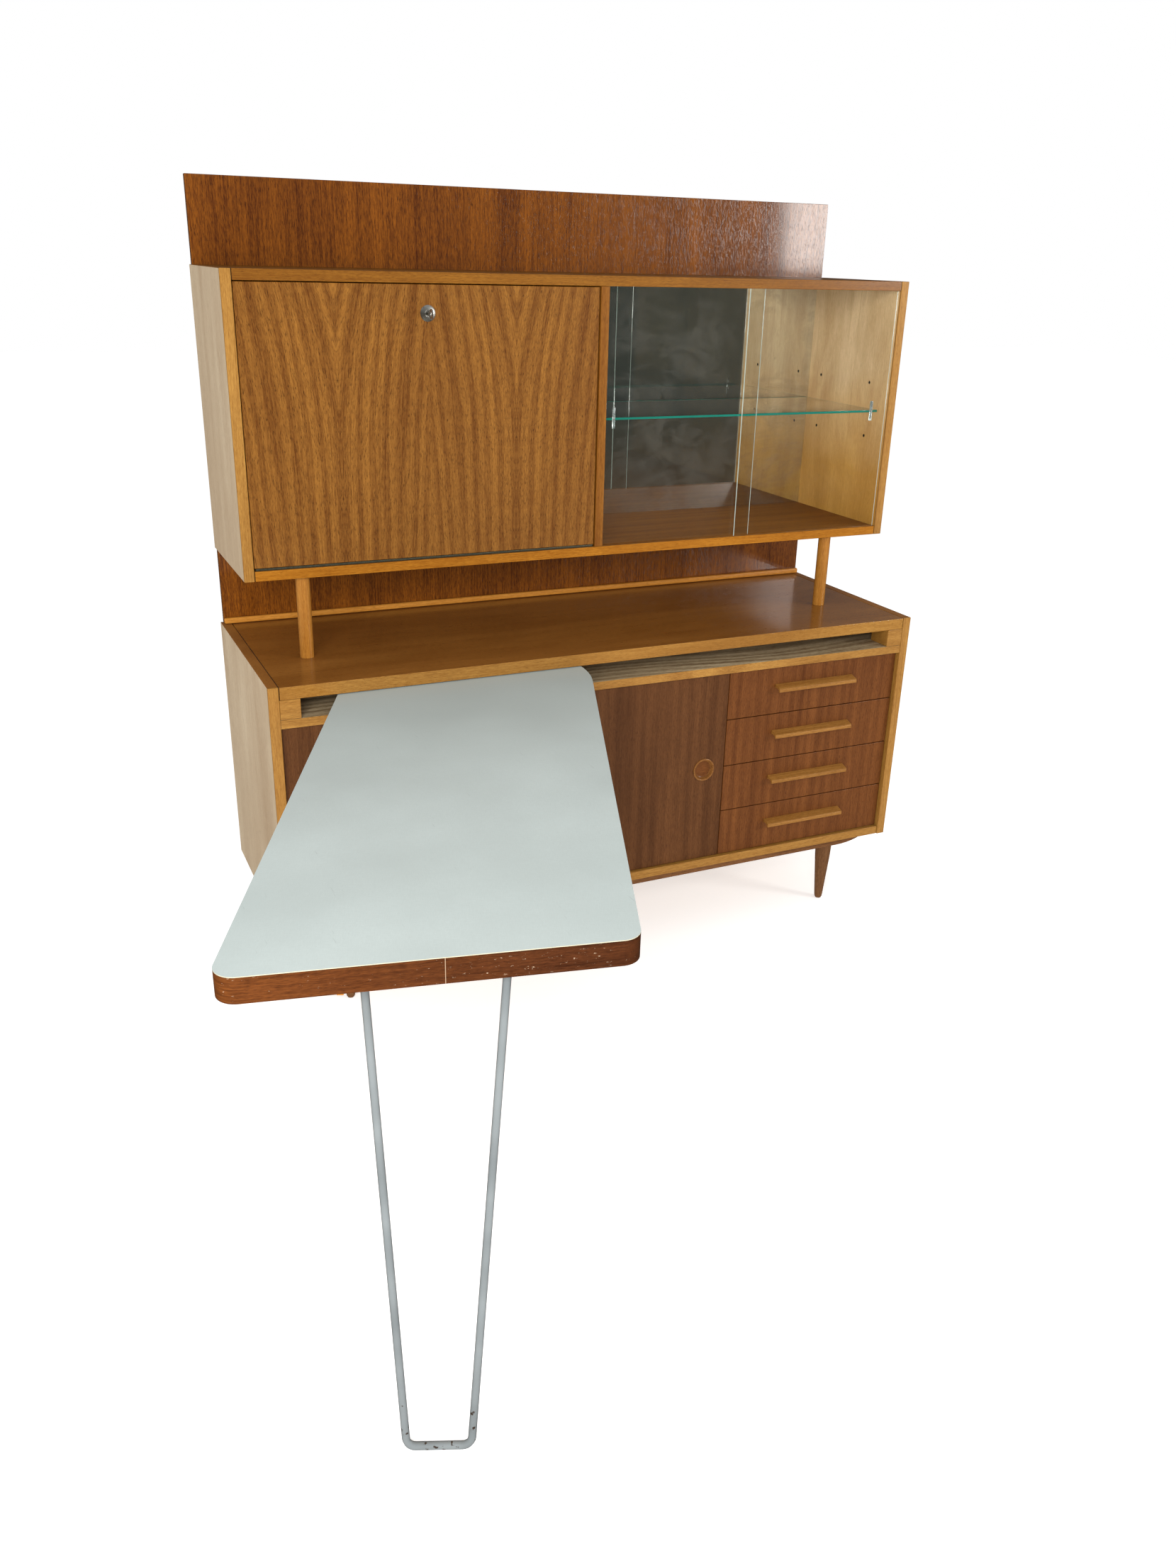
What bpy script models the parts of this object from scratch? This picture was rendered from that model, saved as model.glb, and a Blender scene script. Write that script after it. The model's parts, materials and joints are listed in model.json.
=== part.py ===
"""Secretary desk: a low cabinet on round legs with a table that swings out of a slot under its top, and a
hutch on two posts above it, with a drop-front flap and sliding glass, in front of a tall back panel.

Metres, +Z up, the front faces -Y. Sizes are written in the cabinet's frame: X from the cabinet's middle,
Y back from its front plane, Z up from the floor. The empty "desk" carries that frame, and its place puts
the world's origin under the middle of the whole object's box.
"""
import math

import bmesh
import bpy
from mathutils import Vector

# ---- driving dimensions -------------------------------------------------------------------------------
DESK_PLACE = (0.1377, 0.3305, 0.0)  # the cabinet frame's place in the world

GAP = 0.0003  # joint line between pieces that touch
EDGE = 0.0008  # eased edge on the boards

WIDTH = 1.600  # over the sides
DEPTH = 0.527  # over the sides
SIDE = 0.022  # thickness of the lower cabinet's sides
UNDERSIDE = 0.194  # the lower cabinet's lowest face
TOP = 0.7887  # the lower sides' top edge
BOARD = 0.0215  # bottom board

SLOT_LOW = 0.7185  # the table slot
SLOT_HIGH = 0.7610
SLOT_FLOOR = 0.0195  # thickness of the board under the slot
SLOT_HALF = 0.735  # half the slot's width, between its end blocks
SLOT_END_DEPTH = 0.066

BACK_SHEET = 0.008
CARCASE_BACK = 0.500  # where the lower cabinet's boards meet its back sheet

FACE_Y = 0.012  # door and drawer faces, behind the sides' front edges
FRONT_THICK = 0.018
FRONT_LOW = 0.2172
FRONT_HIGH = 0.6955
DOOR_EDGES = (-0.7760, -0.2450, -0.2430, 0.2885)
DRAWER_EDGES = (0.2905, 0.7760)
DIVIDER = 0.018
DIVIDER_X = (-0.2440, 0.2895)  # middles of the two upright dividers
DIVIDER_Y = 0.0312

PIVOT_INSET = 0.004  # door pivot from the door's hinge edge and from its face
PIVOT_R = 0.0025
PIVOT_HOLE_R = 0.0029
PIVOT_DEEP = 0.009  # how deep the pivot holes are

PULL_R = 0.029  # turned cup pulls
PULL_FROM_EDGE = 0.0555
PULL_Z = 0.456
PULL_RECESS_R = 0.0265
PULL_RECESS = 0.012

DRAWERS = 4
DRAWER_GAP = 0.002
BOX_BACK = 0.470
BOX_WALL = 0.012
BOX_HEIGHT = 0.086
RUNNER_OUT = 0.006  # how far a runner strip stands out of the wall
RUNNER_HIGH = 0.010
RUNNER_Z = 0.045  # runner's middle above the drawer box's underside
BOX_RISE = 0.010  # the box's underside above its front's lower edge
BOX_PLAY = 0.0016  # between a drawer box and the wall beside it
HANDLE_LONG = 0.226
HANDLE_RISE = 0.010  # the handle's middle above its front's middle

BATTEN_Y = (0.037, 0.445)  # front faces of the two battens under the cabinet
BATTEN = (0.766, 0.045, 0.031)  # half length, depth, height
LEG_X = 0.652
LEG_R_TOP = 0.021
LEG_R_FOOT = 0.0095

# table: X to the right and Y towards the cabinet, from the swivel pin
PIN_PLACE = (-0.3554, 0.040)
TABLE_TURN = math.radians(-22.3)
TABLE_TOP = 0.7595
TABLE_LOW = 0.7193
LAMINATE = 0.0012
CORE = 0.019
BAND = 0.018
TABLE_CORNERS = (  # x, y, corner radius
    (0.2785, -1.1468, 0.030),
    (0.2612, 0.2180, 0.2600),
    (-0.2612, 0.2180, 0.2600),
    (-0.2785, -1.2495, 0.030),
)
PIN_R = 0.005
PIN_HOLE_R = 0.0054
RAIL_HALF = 0.690  # guide rail for the pin, let into the top board's underside
RAIL_WIDE = 0.0234
RAIL_HIGH = 0.0130
RAIL_SHEET = 0.0015

FOLD_Y = -1.150  # the folding leg's axle
FOLD_Z = 0.729
LEG_LEAN = math.radians(12.0)
ROD_R = 0.006
ROD_TOP = 0.098  # half the spread of the rods at the axle
ROD_FOOT = 0.047  # half the spread at the floor
ROD_BEND = 0.014

HUTCH_Y = 0.159
HUTCH_BACK = 0.5115
HUTCH_LOW = 0.9675
HUTCH_HIGH = 1.5655
HUTCH_BOARD = 0.021
HUTCH_DIVIDER = (-0.0075, 0.0125)
MIRROR_Y = 0.5080
MIRROR = 0.0032
POST_X = (-0.6747, 0.651)
POST_Y = 0.190
POST_R = 0.0150

PANEL_HALF = 0.794
PANEL_Y = (0.5118, 0.5270)
PANEL_HIGH = 1.738
STRIP_Y = 0.500
STRIP_HIGH = 0.8025

PANE = 0.004
TRACK = 0.005
FRONT_TRACK_Y = 0.166
REAR_TRACK_Y = 0.175
TRACK_UP = 0.008
TRACK_DOWN = 0.0027
PANE_LAP = (0.3676, 0.4115)  # left edge of the right pane, right edge of the left pane
SHELF_Z = (1.2632, 1.2687)
SHELF_Y = (0.200, 0.5045)
PIN_Y = (0.246, 0.455)
SPARE_PIN_Z = (1.201, 1.3295)  # holes for the shelf's pins at its other heights

FLAP_X = (-0.7770, -0.0095)
FLAP_AXIS = (0.1645, 0.9916)
FLAP_HIGH = 1.5425
FLAP_THICK = 0.018
FLAP_FACE = -0.0015  # the flap's face, in front of its hinge axis
FLAP_FOOT = 0.0022  # the flap's lower edge above its hinge axis
HINGE_R = 0.0019
STAY_R = 0.170  # both ends of a stay lie this far from the hinge axis
STAY_BACK = math.radians(42.0)  # the wall pin's angle behind the upright
STAY_OUT = 0.007  # the flap stud's distance from the flap's inner face
STAY_HALF = 0.005
STAY_THICK = 0.002
STAY_LONG = 0.315
STUD_R = 0.0024
SPARE_HOLE_R = 0.0038  # the shelf pins' spare holes, worn wide
STUD_HOLE_R = 0.0028
STAY_INSET = 0.0065  # the stay's middle plane from the flap's end

LOCK_Z = 1.4878
LOCK_R = 0.016
BARREL_R = 0.0095
BARREL = 0.012  # how deep the lock's barrel goes into the flap
SPINDLE_R = 0.004
CAM_REACH = 0.0627  # from the lock's axis to the cam's tip
CAM_HALF = 0.005
CAM_THICK = 0.002
CAM_BEHIND = 0.0006  # between the flap's inner face and the cam
CAM_RECESS = 0.008  # how deep the cam's recess goes into the hutch's top

HALF = WIDTH / 2
INNER = HALF - SIDE - GAP  # where a board between the lower sides ends
HUTCH_INNER = HALF - HUTCH_BOARD - GAP
TOP_FACE = TOP - 0.0007  # the top board lies a hair below the sides
FRONT_EDGE = 0.0005
PITCH = (FRONT_HIGH - FRONT_LOW + DRAWER_GAP) / DRAWERS

LIGHT = ("light_wood", (0.62, 0.37, 0.15), 0.45, 0.0)
MAHOGANY = ("mahogany", (0.27, 0.10, 0.04), 0.40, 0.0)
SAPELE = ("sapele", (0.44, 0.22, 0.09), 0.40, 0.0)
BROWN = ("brown_veneer", (0.34, 0.18, 0.08), 0.35, 0.0)
GREY_WOOD = ("pale_grey_veneer", (0.55, 0.47, 0.38), 0.60, 0.0)
BIRCH = ("birch", (0.68, 0.50, 0.28), 0.50, 0.0)
PLY = ("plywood", (0.45, 0.32, 0.20), 0.70, 0.0)
PALE_BLUE = ("laminate", (0.66, 0.74, 0.74), 0.35, 0.0)
NICKEL = ("nickel", (0.60, 0.60, 0.57), 0.25, 1.0)
STEEL = ("steel", (0.45, 0.45, 0.45), 0.35, 1.0)
GREY_PAINT = ("grey_paint", (0.42, 0.43, 0.43), 0.45, 0.0)
GLASS = ("glass", (0.75, 0.85, 0.82), 0.05, 0.0)
SILVER = ("mirror", (0.80, 0.82, 0.82), 0.03, 1.0)
NYLON = ("nylon", (0.75, 0.74, 0.68), 0.50, 0.0)

PARTS = bpy.data.collections.new("secretary_desk")
CUTTERS = bpy.data.collections.new("cutters")


# ---- tools --------------------------------------------------------------------------------------------
def material(piece, finish):
    """The piece's own material: base colour, roughness and metallic."""
    kind, colour, roughness, metallic = finish
    made = bpy.data.materials.new(f"{piece}_{kind}")
    made.use_nodes = True
    made.diffuse_color = (*colour, 1.0)
    shader = made.node_tree.nodes["Principled BSDF"]
    shader.inputs["Base Color"].default_value = (*colour, 1.0)
    shader.inputs["Roughness"].default_value = roughness
    shader.inputs["Metallic"].default_value = metallic
    return made


def axis_empty(name, place, parent, rotation=(0.0, 0.0, 0.0)):
    """An empty on a joint's axis, which carries the pieces that move about it."""
    empty = bpy.data.objects.new(name, None)
    bpy.context.scene.collection.objects.link(empty)
    empty.empty_display_size = 0.05
    empty.parent = parent
    empty.location = place
    empty.rotation_euler = rotation
    return empty


def add_piece(name, data, finish, parent, place=(0.0, 0.0, 0.0), rotation=(0.0, 0.0, 0.0)):
    piece = bpy.data.objects.new(name, data)
    PARTS.objects.link(piece)
    if not data.materials:
        data.materials.append(material(name, finish))
    piece.parent = parent
    piece.location = place
    piece.rotation_euler = rotation
    return piece


def block_mesh(name, low, high):
    """A box between two corners, centred on its own origin."""
    mesh = bpy.data.meshes.new(name)
    shape = bmesh.new()
    bmesh.ops.create_cube(shape, size=1.0)
    bmesh.ops.scale(shape, vec=Vector(high) - Vector(low), verts=shape.verts)
    shape.to_mesh(mesh)
    shape.free()
    return mesh


def middle(low, high):
    return (Vector(low) + Vector(high)) / 2


def board(name, low, high, finish, parent, edge=EDGE):
    """A board between two corners, with eased edges."""
    piece = add_piece(name, block_mesh(name, low, high), finish, parent, middle(low, high))
    if edge:
        ease = piece.modifiers.new("eased_edges", "BEVEL")
        ease.width = edge
        ease.segments = 1
    return piece


def set_aside(tool, parent, place, rotation=(0.0, 0.0, 0.0)):
    """Keep a cutter or a joined-on shape out of the object itself."""
    CUTTERS.objects.link(tool)
    tool.parent = parent
    tool.location = place
    tool.rotation_euler = rotation
    tool.hide_render = True
    tool.display_type = "WIRE"
    return tool


def block_tool(name, low, high, parent):
    return set_aside(bpy.data.objects.new(name, block_mesh(name, low, high)), parent, middle(low, high))


def round_tool(name, radius, length, place, parent, rotation=(0.0, 0.0, 0.0), sides=24):
    """A cylinder along its own Z, centred on its place."""
    mesh = bpy.data.meshes.new(name)
    shape = bmesh.new()
    bmesh.ops.create_cone(
        shape, cap_ends=True, segments=sides, radius1=radius, radius2=radius, depth=length
    )
    shape.to_mesh(mesh)
    shape.free()
    return set_aside(bpy.data.objects.new(name, mesh), parent, place, rotation)


def combine(piece, tool, operation):
    step = piece.modifiers.new(tool.name, "BOOLEAN")
    step.operation = operation
    step.object = tool
    step.solver = "EXACT"


def cut(piece, tool):
    combine(piece, tool, "DIFFERENCE")


def join(piece, tool):
    combine(piece, tool, "UNION")


def turned(name, profile, finish, parent, place, rotation=(0.0, 0.0, 0.0), steps=32):
    """A profile of (radius, height) points, top to bottom down its outer side, turned about Z."""
    mesh = bpy.data.meshes.new(name)
    shape = bmesh.new()
    points = [shape.verts.new((radius, 0.0, height)) for radius, height in profile]
    for upper, lower in zip(points, points[1:]):
        shape.edges.new((upper, lower))
    shape.to_mesh(mesh)
    shape.free()
    piece = add_piece(name, mesh, finish, parent, place, rotation)
    turn = piece.modifiers.new("turning", "SCREW")
    turn.steps = steps
    turn.render_steps = steps
    turn.use_merge_vertices = True
    turn.merge_threshold = 0.00001
    return piece


def rounded(points, radii, closed, steps):
    """The path through points, with an arc of the given radius at each corner that has one."""
    path = []
    for number, (corner, radius) in enumerate(zip(points, radii)):
        inside = closed or 0 < number < len(points) - 1
        if not inside or radius <= 0.0:
            path.append(corner)
            continue
        back = (points[number - 1] - corner).normalized()
        ahead = (points[(number + 1) % len(points)] - corner).normalized()
        half = back.angle(ahead) / 2
        centre = corner + (back + ahead).normalized() * radius / math.sin(half)
        start = corner + back * radius / math.tan(half) - centre
        end = corner + ahead * radius / math.tan(half) - centre
        sweep = start.angle(end)
        for step in range(steps + 1):
            share = sweep * step / steps
            path.append(centre + (start * math.sin(sweep - share) + end * math.sin(share)) / math.sin(sweep))
    return path


def flat_shape(name, loops, thickness, finish, parent, place, rotation=(0.0, 0.0, 0.0)):
    """Closed outlines filled and given a thickness about their plane; a loop inside another is a hole."""
    curve = bpy.data.curves.new(name, "CURVE")
    curve.dimensions = "2D"
    curve.fill_mode = "BOTH"
    curve.extrude = thickness / 2
    for loop in loops:
        spline = curve.splines.new("POLY")
        spline.points.add(len(loop) - 1)
        for point, (x, y) in zip(spline.points, loop):
            point.co = (x, y, 0.0, 1.0)
        spline.use_cyclic_u = True
    return add_piece(name, curve, finish, parent, place, rotation)


def circle(radius, centre=(0.0, 0.0), steps=24):
    turns = (2 * math.pi * step / steps for step in range(steps))
    return [(centre[0] + radius * math.cos(turn), centre[1] + radius * math.sin(turn)) for turn in turns]


def capsule(start, end, radius, steps=8):
    """A strip along X with round ends, whose end circles are centred on start and end."""
    turns = [math.radians(-90) + math.pi * step / steps for step in range(steps + 1)]
    ahead = [(end + radius * math.cos(turn), radius * math.sin(turn)) for turn in turns]
    behind = [(start - radius * math.cos(turn), -radius * math.sin(turn)) for turn in turns]
    return ahead + behind


def as_mesh(piece):
    """The same piece as a mesh, so that it can be cut."""
    bpy.context.view_layer.update()
    mesh = bpy.data.meshes.new_from_object(piece.evaluated_get(bpy.context.evaluated_depsgraph_get()))
    shape = bmesh.new()
    shape.from_mesh(mesh)
    bmesh.ops.remove_doubles(shape, verts=shape.verts, dist=0.00001)
    bmesh.ops.recalc_face_normals(shape, faces=shape.faces)
    shape.to_mesh(mesh)
    shape.free()
    name = piece.name
    placing = (piece.parent, piece.location.copy(), piece.rotation_euler.copy())
    bpy.data.objects.remove(piece)
    solid = bpy.data.objects.new(name, mesh)
    PARTS.objects.link(solid)
    solid.parent, solid.location, solid.rotation_euler = placing
    return solid


ALONG_X = (math.radians(90), 0.0, math.radians(90))  # outline in Y and Z, thickness along X
FACING_FRONT = (math.radians(90), 0.0, 0.0)  # own Z towards the front
LYING_X = (0.0, math.radians(90), 0.0)  # own Z along X


# ---- lower cabinet ------------------------------------------------------------------------------------
def drawer_low(number):
    """Lower edge of drawer front number 0 (the top one) to 3."""
    return FRONT_HIGH - (number + 1) * PITCH + DRAWER_GAP


def add_runners(piece, wall_x, inwards, desk):
    """Four runner strips on a wall beside the drawers, part of the wall's own piece."""
    for number in range(DRAWERS):
        height = drawer_low(number) + BOX_RISE + RUNNER_Z
        near, far = sorted((wall_x - inwards * 0.002, wall_x + inwards * RUNNER_OUT))
        strip = block_tool(
            f"{piece.name}_runner_{number + 1}",
            (near, 0.036, height - RUNNER_HIGH / 2),
            (far, CARCASE_BACK - 0.012, height + RUNNER_HIGH / 2),
            desk,
        )
        join(piece, strip)


def lower_carcase(desk):
    board("lower_side_left", (-HALF, 0.0, UNDERSIDE), (SIDE - HALF, DEPTH, TOP), GREY_WOOD, desk)
    right = board("lower_side_right", (HALF - SIDE, 0.0, UNDERSIDE), (HALF, DEPTH, TOP), GREY_WOOD, desk)
    add_runners(right, HALF - SIDE, -1, desk)

    bottom_top = UNDERSIDE + BOARD
    bottom = board(
        "bottom_board", (-INNER, 0.003, UNDERSIDE), (INNER, CARCASE_BACK, bottom_top), LIGHT, desk
    )
    slot_floor = board(
        "slot_floor",
        (-INNER, FRONT_EDGE, SLOT_LOW - SLOT_FLOOR),
        (INNER, CARCASE_BACK, SLOT_LOW),
        GREY_WOOD,
        desk,
    )
    for side, edge in (("left", DOOR_EDGES[0]), ("middle", DOOR_EDGES[2])):
        place = (edge + PIVOT_INSET, FACE_Y + PIVOT_INSET)
        for end, target, height in (
            ("top", slot_floor, SLOT_LOW - SLOT_FLOOR),
            ("bottom", bottom, bottom_top),
        ):
            hole = round_tool(
                f"{side}_door_{end}_pivot_hole",
                PIVOT_HOLE_R,
                2 * PIVOT_DEEP,
                (*place, height),
                desk,
                sides=16,
            )
            cut(target, hole)

    for side, sign in (("left", -1), ("right", 1)):
        low_x, high_x = sorted((sign * SLOT_HALF, sign * INNER))
        board(
            f"slot_end_{side}",
            (low_x, FRONT_EDGE, SLOT_LOW + GAP),
            (high_x, SLOT_END_DEPTH, SLOT_HIGH - GAP),
            LIGHT,
            desk,
        )

    for name, centre in (("divider_left", DIVIDER_X[0]), ("divider_right", DIVIDER_X[1])):
        divider = board(
            name,
            (centre - DIVIDER / 2, DIVIDER_Y, bottom_top + GAP),
            (centre + DIVIDER / 2, CARCASE_BACK - GAP, SLOT_LOW - SLOT_FLOOR - GAP),
            BIRCH,
            desk,
        )
        if name == "divider_right":
            add_runners(divider, centre + DIVIDER / 2, 1, desk)

    board(
        "lower_back",
        (-INNER, CARCASE_BACK + GAP, UNDERSIDE),
        (INNER, CARCASE_BACK + BACK_SHEET, SLOT_HIGH - GAP),
        PLY,
        desk,
    )


def top_and_rail(desk):
    top = board("top_board", (-INNER, FRONT_EDGE, SLOT_HIGH), (INNER, DEPTH, TOP_FACE), BROWN, desk)
    half_groove = RAIL_WIDE / 2 + GAP
    groove = block_tool(
        "rail_groove",
        (-RAIL_HALF - GAP, PIN_PLACE[1] - half_groove, SLOT_HIGH - 0.005),
        (RAIL_HALF + GAP, PIN_PLACE[1] + half_groove, SLOT_HIGH + RAIL_HIGH + 2 * GAP),
        desk,
    )
    cut(top, groove)

    out = RAIL_WIDE / 2
    inner = out - RAIL_SHEET
    channel = (
        (-out, 0.0),
        (-inner, 0.0),
        (-inner, RAIL_HIGH - RAIL_SHEET),
        (inner, RAIL_HIGH - RAIL_SHEET),
        (inner, 0.0),
        (out, 0.0),
        (out, RAIL_HIGH),
        (-out, RAIL_HIGH),
    )
    flat_shape(
        "table_guide_rail",
        [channel],
        2 * RAIL_HALF,
        STEEL,
        desk,
        (0.0, PIN_PLACE[1], SLOT_HIGH + GAP),
        ALONG_X,
    )


def battens_and_legs(desk):
    half, deep, high = BATTEN
    batten_low = UNDERSIDE - GAP - high
    upsweep = 0.090
    underside = [
        (half - upsweep + upsweep * math.sin(turn), high * (1 - math.cos(turn)))
        for turn in (math.radians(90) * step / 8 for step in range(9))
    ]
    outline = [(x, z) for x, z in reversed(underside)] + [(-x, z) for x, z in underside]
    outline = [(x, z + batten_low) for x, z in outline]
    for end, near in (("front", BATTEN_Y[0]), ("back", BATTEN_Y[1])):
        flat_shape(
            f"base_batten_{end}",
            [outline],
            deep,
            MAHOGANY,
            desk,
            (0.0, near + deep / 2, 0.0),
            FACING_FRONT,
        )
        profile = (
            (0.0, batten_low - GAP),
            (LEG_R_TOP, batten_low - GAP),
            (LEG_R_TOP - 0.0012, batten_low * 0.8),
            (LEG_R_FOOT + 0.0012, 0.012),
            (LEG_R_FOOT, 0.004),
            (LEG_R_FOOT - 0.002, 0.0),
            (0.0, 0.0),
        )
        for side, sign in (("left", -1), ("right", 1)):
            turned(
                f"leg_{end}_{side}",
                profile,
                MAHOGANY,
                desk,
                (sign * LEG_X, near + deep / 2, 0.0),
                steps=40,
            )


# ---- doors and drawers --------------------------------------------------------------------------------
def door(side, left, right, desk):
    """A flush door on two pins near its left front corner, with a cup pull by its free edge."""
    axis = axis_empty(f"{side}_door_axis", (left + PIVOT_INSET, FACE_Y + PIVOT_INSET, 0.0), desk)
    wide = right - left
    slab = board(
        f"{side}_door",
        (-PIVOT_INSET, -PIVOT_INSET, FRONT_LOW),
        (wide - PIVOT_INSET, FRONT_THICK - PIVOT_INSET, FRONT_HIGH),
        MAHOGANY,
        axis,
    )
    pin_top = SLOT_LOW - SLOT_FLOOR + PIVOT_DEEP - 0.002
    pin_low = UNDERSIDE + BOARD - PIVOT_DEEP + 0.002
    for end, low, high in (("top", FRONT_HIGH - 0.02, pin_top), ("bottom", pin_low, FRONT_LOW + 0.02)):
        pin = round_tool(
            f"{side}_door_{end}_pin", PIVOT_R, high - low, (0.0, 0.0, (low + high) / 2), axis, sides=16
        )
        join(slab, pin)

    pull_x = wide - PIVOT_INSET - PULL_FROM_EDGE
    recess = round_tool(
        f"{side}_door_recess",
        PULL_RECESS_R,
        2 * PULL_RECESS,
        (pull_x, -PIVOT_INSET, PULL_Z),
        axis,
        FACING_FRONT,
        sides=48,
    )
    cut(slab, recess)
    cup = (
        (0.0, -0.0068),
        (0.0160, -0.0070),
        (0.0205, -0.0062),
        (0.0232, -0.0038),
        (0.0242, 0.0012),
        (0.0252, 0.0026),
        (0.0272, 0.0030),
        (PULL_R - 0.0004, 0.0018),
        (PULL_R, GAP),
        (PULL_RECESS_R - 2 * GAP, GAP),
        (PULL_RECESS_R - 2 * GAP, GAP - PULL_RECESS),
        (0.0, GAP - PULL_RECESS),
    )
    turned(
        f"{side}_door_pull", cup, LIGHT, axis, (pull_x, -PIVOT_INSET, PULL_Z), FACING_FRONT, steps=48
    )


def drawer_box(name, axis):
    """An open box with a groove along each side for its runner."""
    left = DIVIDER_X[1] + DIVIDER / 2 + BOX_PLAY - DRAWER_EDGES[0]
    right = HALF - SIDE - BOX_PLAY - DRAWER_EDGES[0]
    near = FRONT_THICK + GAP
    far = BOX_BACK - FACE_Y
    low = BOX_RISE
    box = board(name, (left, near, low), (right, far, low + BOX_HEIGHT), BIRCH, axis, edge=0.0)
    hollow = block_tool(
        f"{name}_hollow",
        (left + BOX_WALL, near + BOX_WALL, low + 0.008),
        (right - BOX_WALL, far - BOX_WALL, low + BOX_HEIGHT + 0.02),
        axis,
    )
    cut(box, hollow)
    groove_deep = RUNNER_OUT - BOX_PLAY + 0.0008
    groove_half = RUNNER_HIGH / 2 + 0.0006
    for side, outer, inner in (
        ("left", left - 0.01, left + groove_deep),
        ("right", right - groove_deep, right + 0.01),
    ):
        groove = block_tool(
            f"{name}_{side}_groove",
            (outer, near + 0.003, low + RUNNER_Z - groove_half),
            (inner, far + 0.01, low + RUNNER_Z + groove_half),
            axis,
        )
        cut(box, groove)


def drawer(number, desk):
    """Front, box and bar handle; the axis empty sits at the front's lower left corner."""
    low = drawer_low(number)
    high = low + PITCH - DRAWER_GAP
    axis = axis_empty(f"drawer_{number + 1}_axis", (DRAWER_EDGES[0], FACE_Y, low), desk)
    wide = DRAWER_EDGES[1] - DRAWER_EDGES[0]
    board(
        f"drawer_{number + 1}_front", (0.0, 0.0, 0.0), (wide, FRONT_THICK, high - low), MAHOGANY, axis
    )
    drawer_box(f"drawer_{number + 1}_box", axis)
    lip = (  # across the bar: Y out of the face is negative
        (-GAP, 0.0075),
        (-0.0185, 0.0020),
        (-0.0215, -0.0010),
        (-0.0215, -0.0085),
        (-0.0175, -0.0085),
        (-0.0155, -0.0035),
        (-0.0060, -0.0010),
        (-GAP, -0.0030),
    )
    flat_shape(
        f"drawer_{number + 1}_handle",
        [lip[::-1]],
        HANDLE_LONG,
        LIGHT,
        axis,
        (wide / 2, 0.0, (high - low) / 2 + HANDLE_RISE),
        ALONG_X,
    )


# ---- swing-out table ----------------------------------------------------------------------------------
def inset(corners, distance):
    """The corners of the outline moved in by a distance, with their radii made smaller to match."""
    moved = []
    count = len(corners)
    for number in range(count):
        before, here, after = (Vector(corners[(number + step) % count][:2]) for step in (-1, 0, 1))
        along_in = (here - before).normalized()
        along_out = (after - here).normalized()
        normal_in = Vector((-along_in.y, along_in.x))
        normal_out = Vector((-along_out.y, along_out.x))
        shift = (normal_in + normal_out) / (1 + normal_in.dot(normal_out)) * distance
        moved.append((*(here + shift), corners[number][2] - distance))
    return moved


def outline_of(corners):
    points = [Vector((x, y, 0.0)) for x, y, _ in corners]
    radii = [radius for _, _, radius in corners]
    steps = 14
    return [(point.x, point.y) for point in rounded(points, radii, True, steps)]


def table(desk):
    slide = axis_empty("table_slide_axis", (*PIN_PLACE, 0.0), desk)
    guide = board(
        "table_guide_block",
        (-0.018, -0.0098, SLOT_HIGH + GAP + 0.0005),
        (0.018, 0.0098, SLOT_HIGH + RAIL_HIGH - RAIL_SHEET - 0.0004),
        NYLON,
        slide,
    )
    pin_low, pin_high = TABLE_TOP - LAMINATE - CORE + 0.0015, SLOT_HIGH + 0.006
    pin = round_tool(
        "table_pin", PIN_R, pin_high - pin_low, (0.0, 0.0, (pin_low + pin_high) / 2), slide
    )
    join(guide, pin)

    axis = axis_empty("table_swivel_axis", (0.0, 0.0, 0.0), slide, (0.0, 0.0, TABLE_TURN))
    hole = circle(PIN_HOLE_R)
    outer = outline_of(TABLE_CORNERS)
    flat_shape(
        "table_laminate",
        [outer, hole],
        LAMINATE,
        PALE_BLUE,
        axis,
        (0.0, 0.0, TABLE_TOP - LAMINATE / 2),
    )
    band_high = TABLE_TOP - LAMINATE - GAP
    flat_shape(
        "table_band",
        [outer, outline_of(inset(TABLE_CORNERS, BAND))],
        band_high - TABLE_LOW,
        MAHOGANY,
        axis,
        (0.0, 0.0, (band_high + TABLE_LOW) / 2),
    )
    core_low = band_high - CORE
    flat_shape(
        "table_core",
        [outline_of(inset(TABLE_CORNERS, BAND + GAP)), hole],
        CORE,
        BIRCH,
        axis,
        (0.0, 0.0, band_high - CORE / 2),
    )
    folding_leg(axis, core_low)


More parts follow.
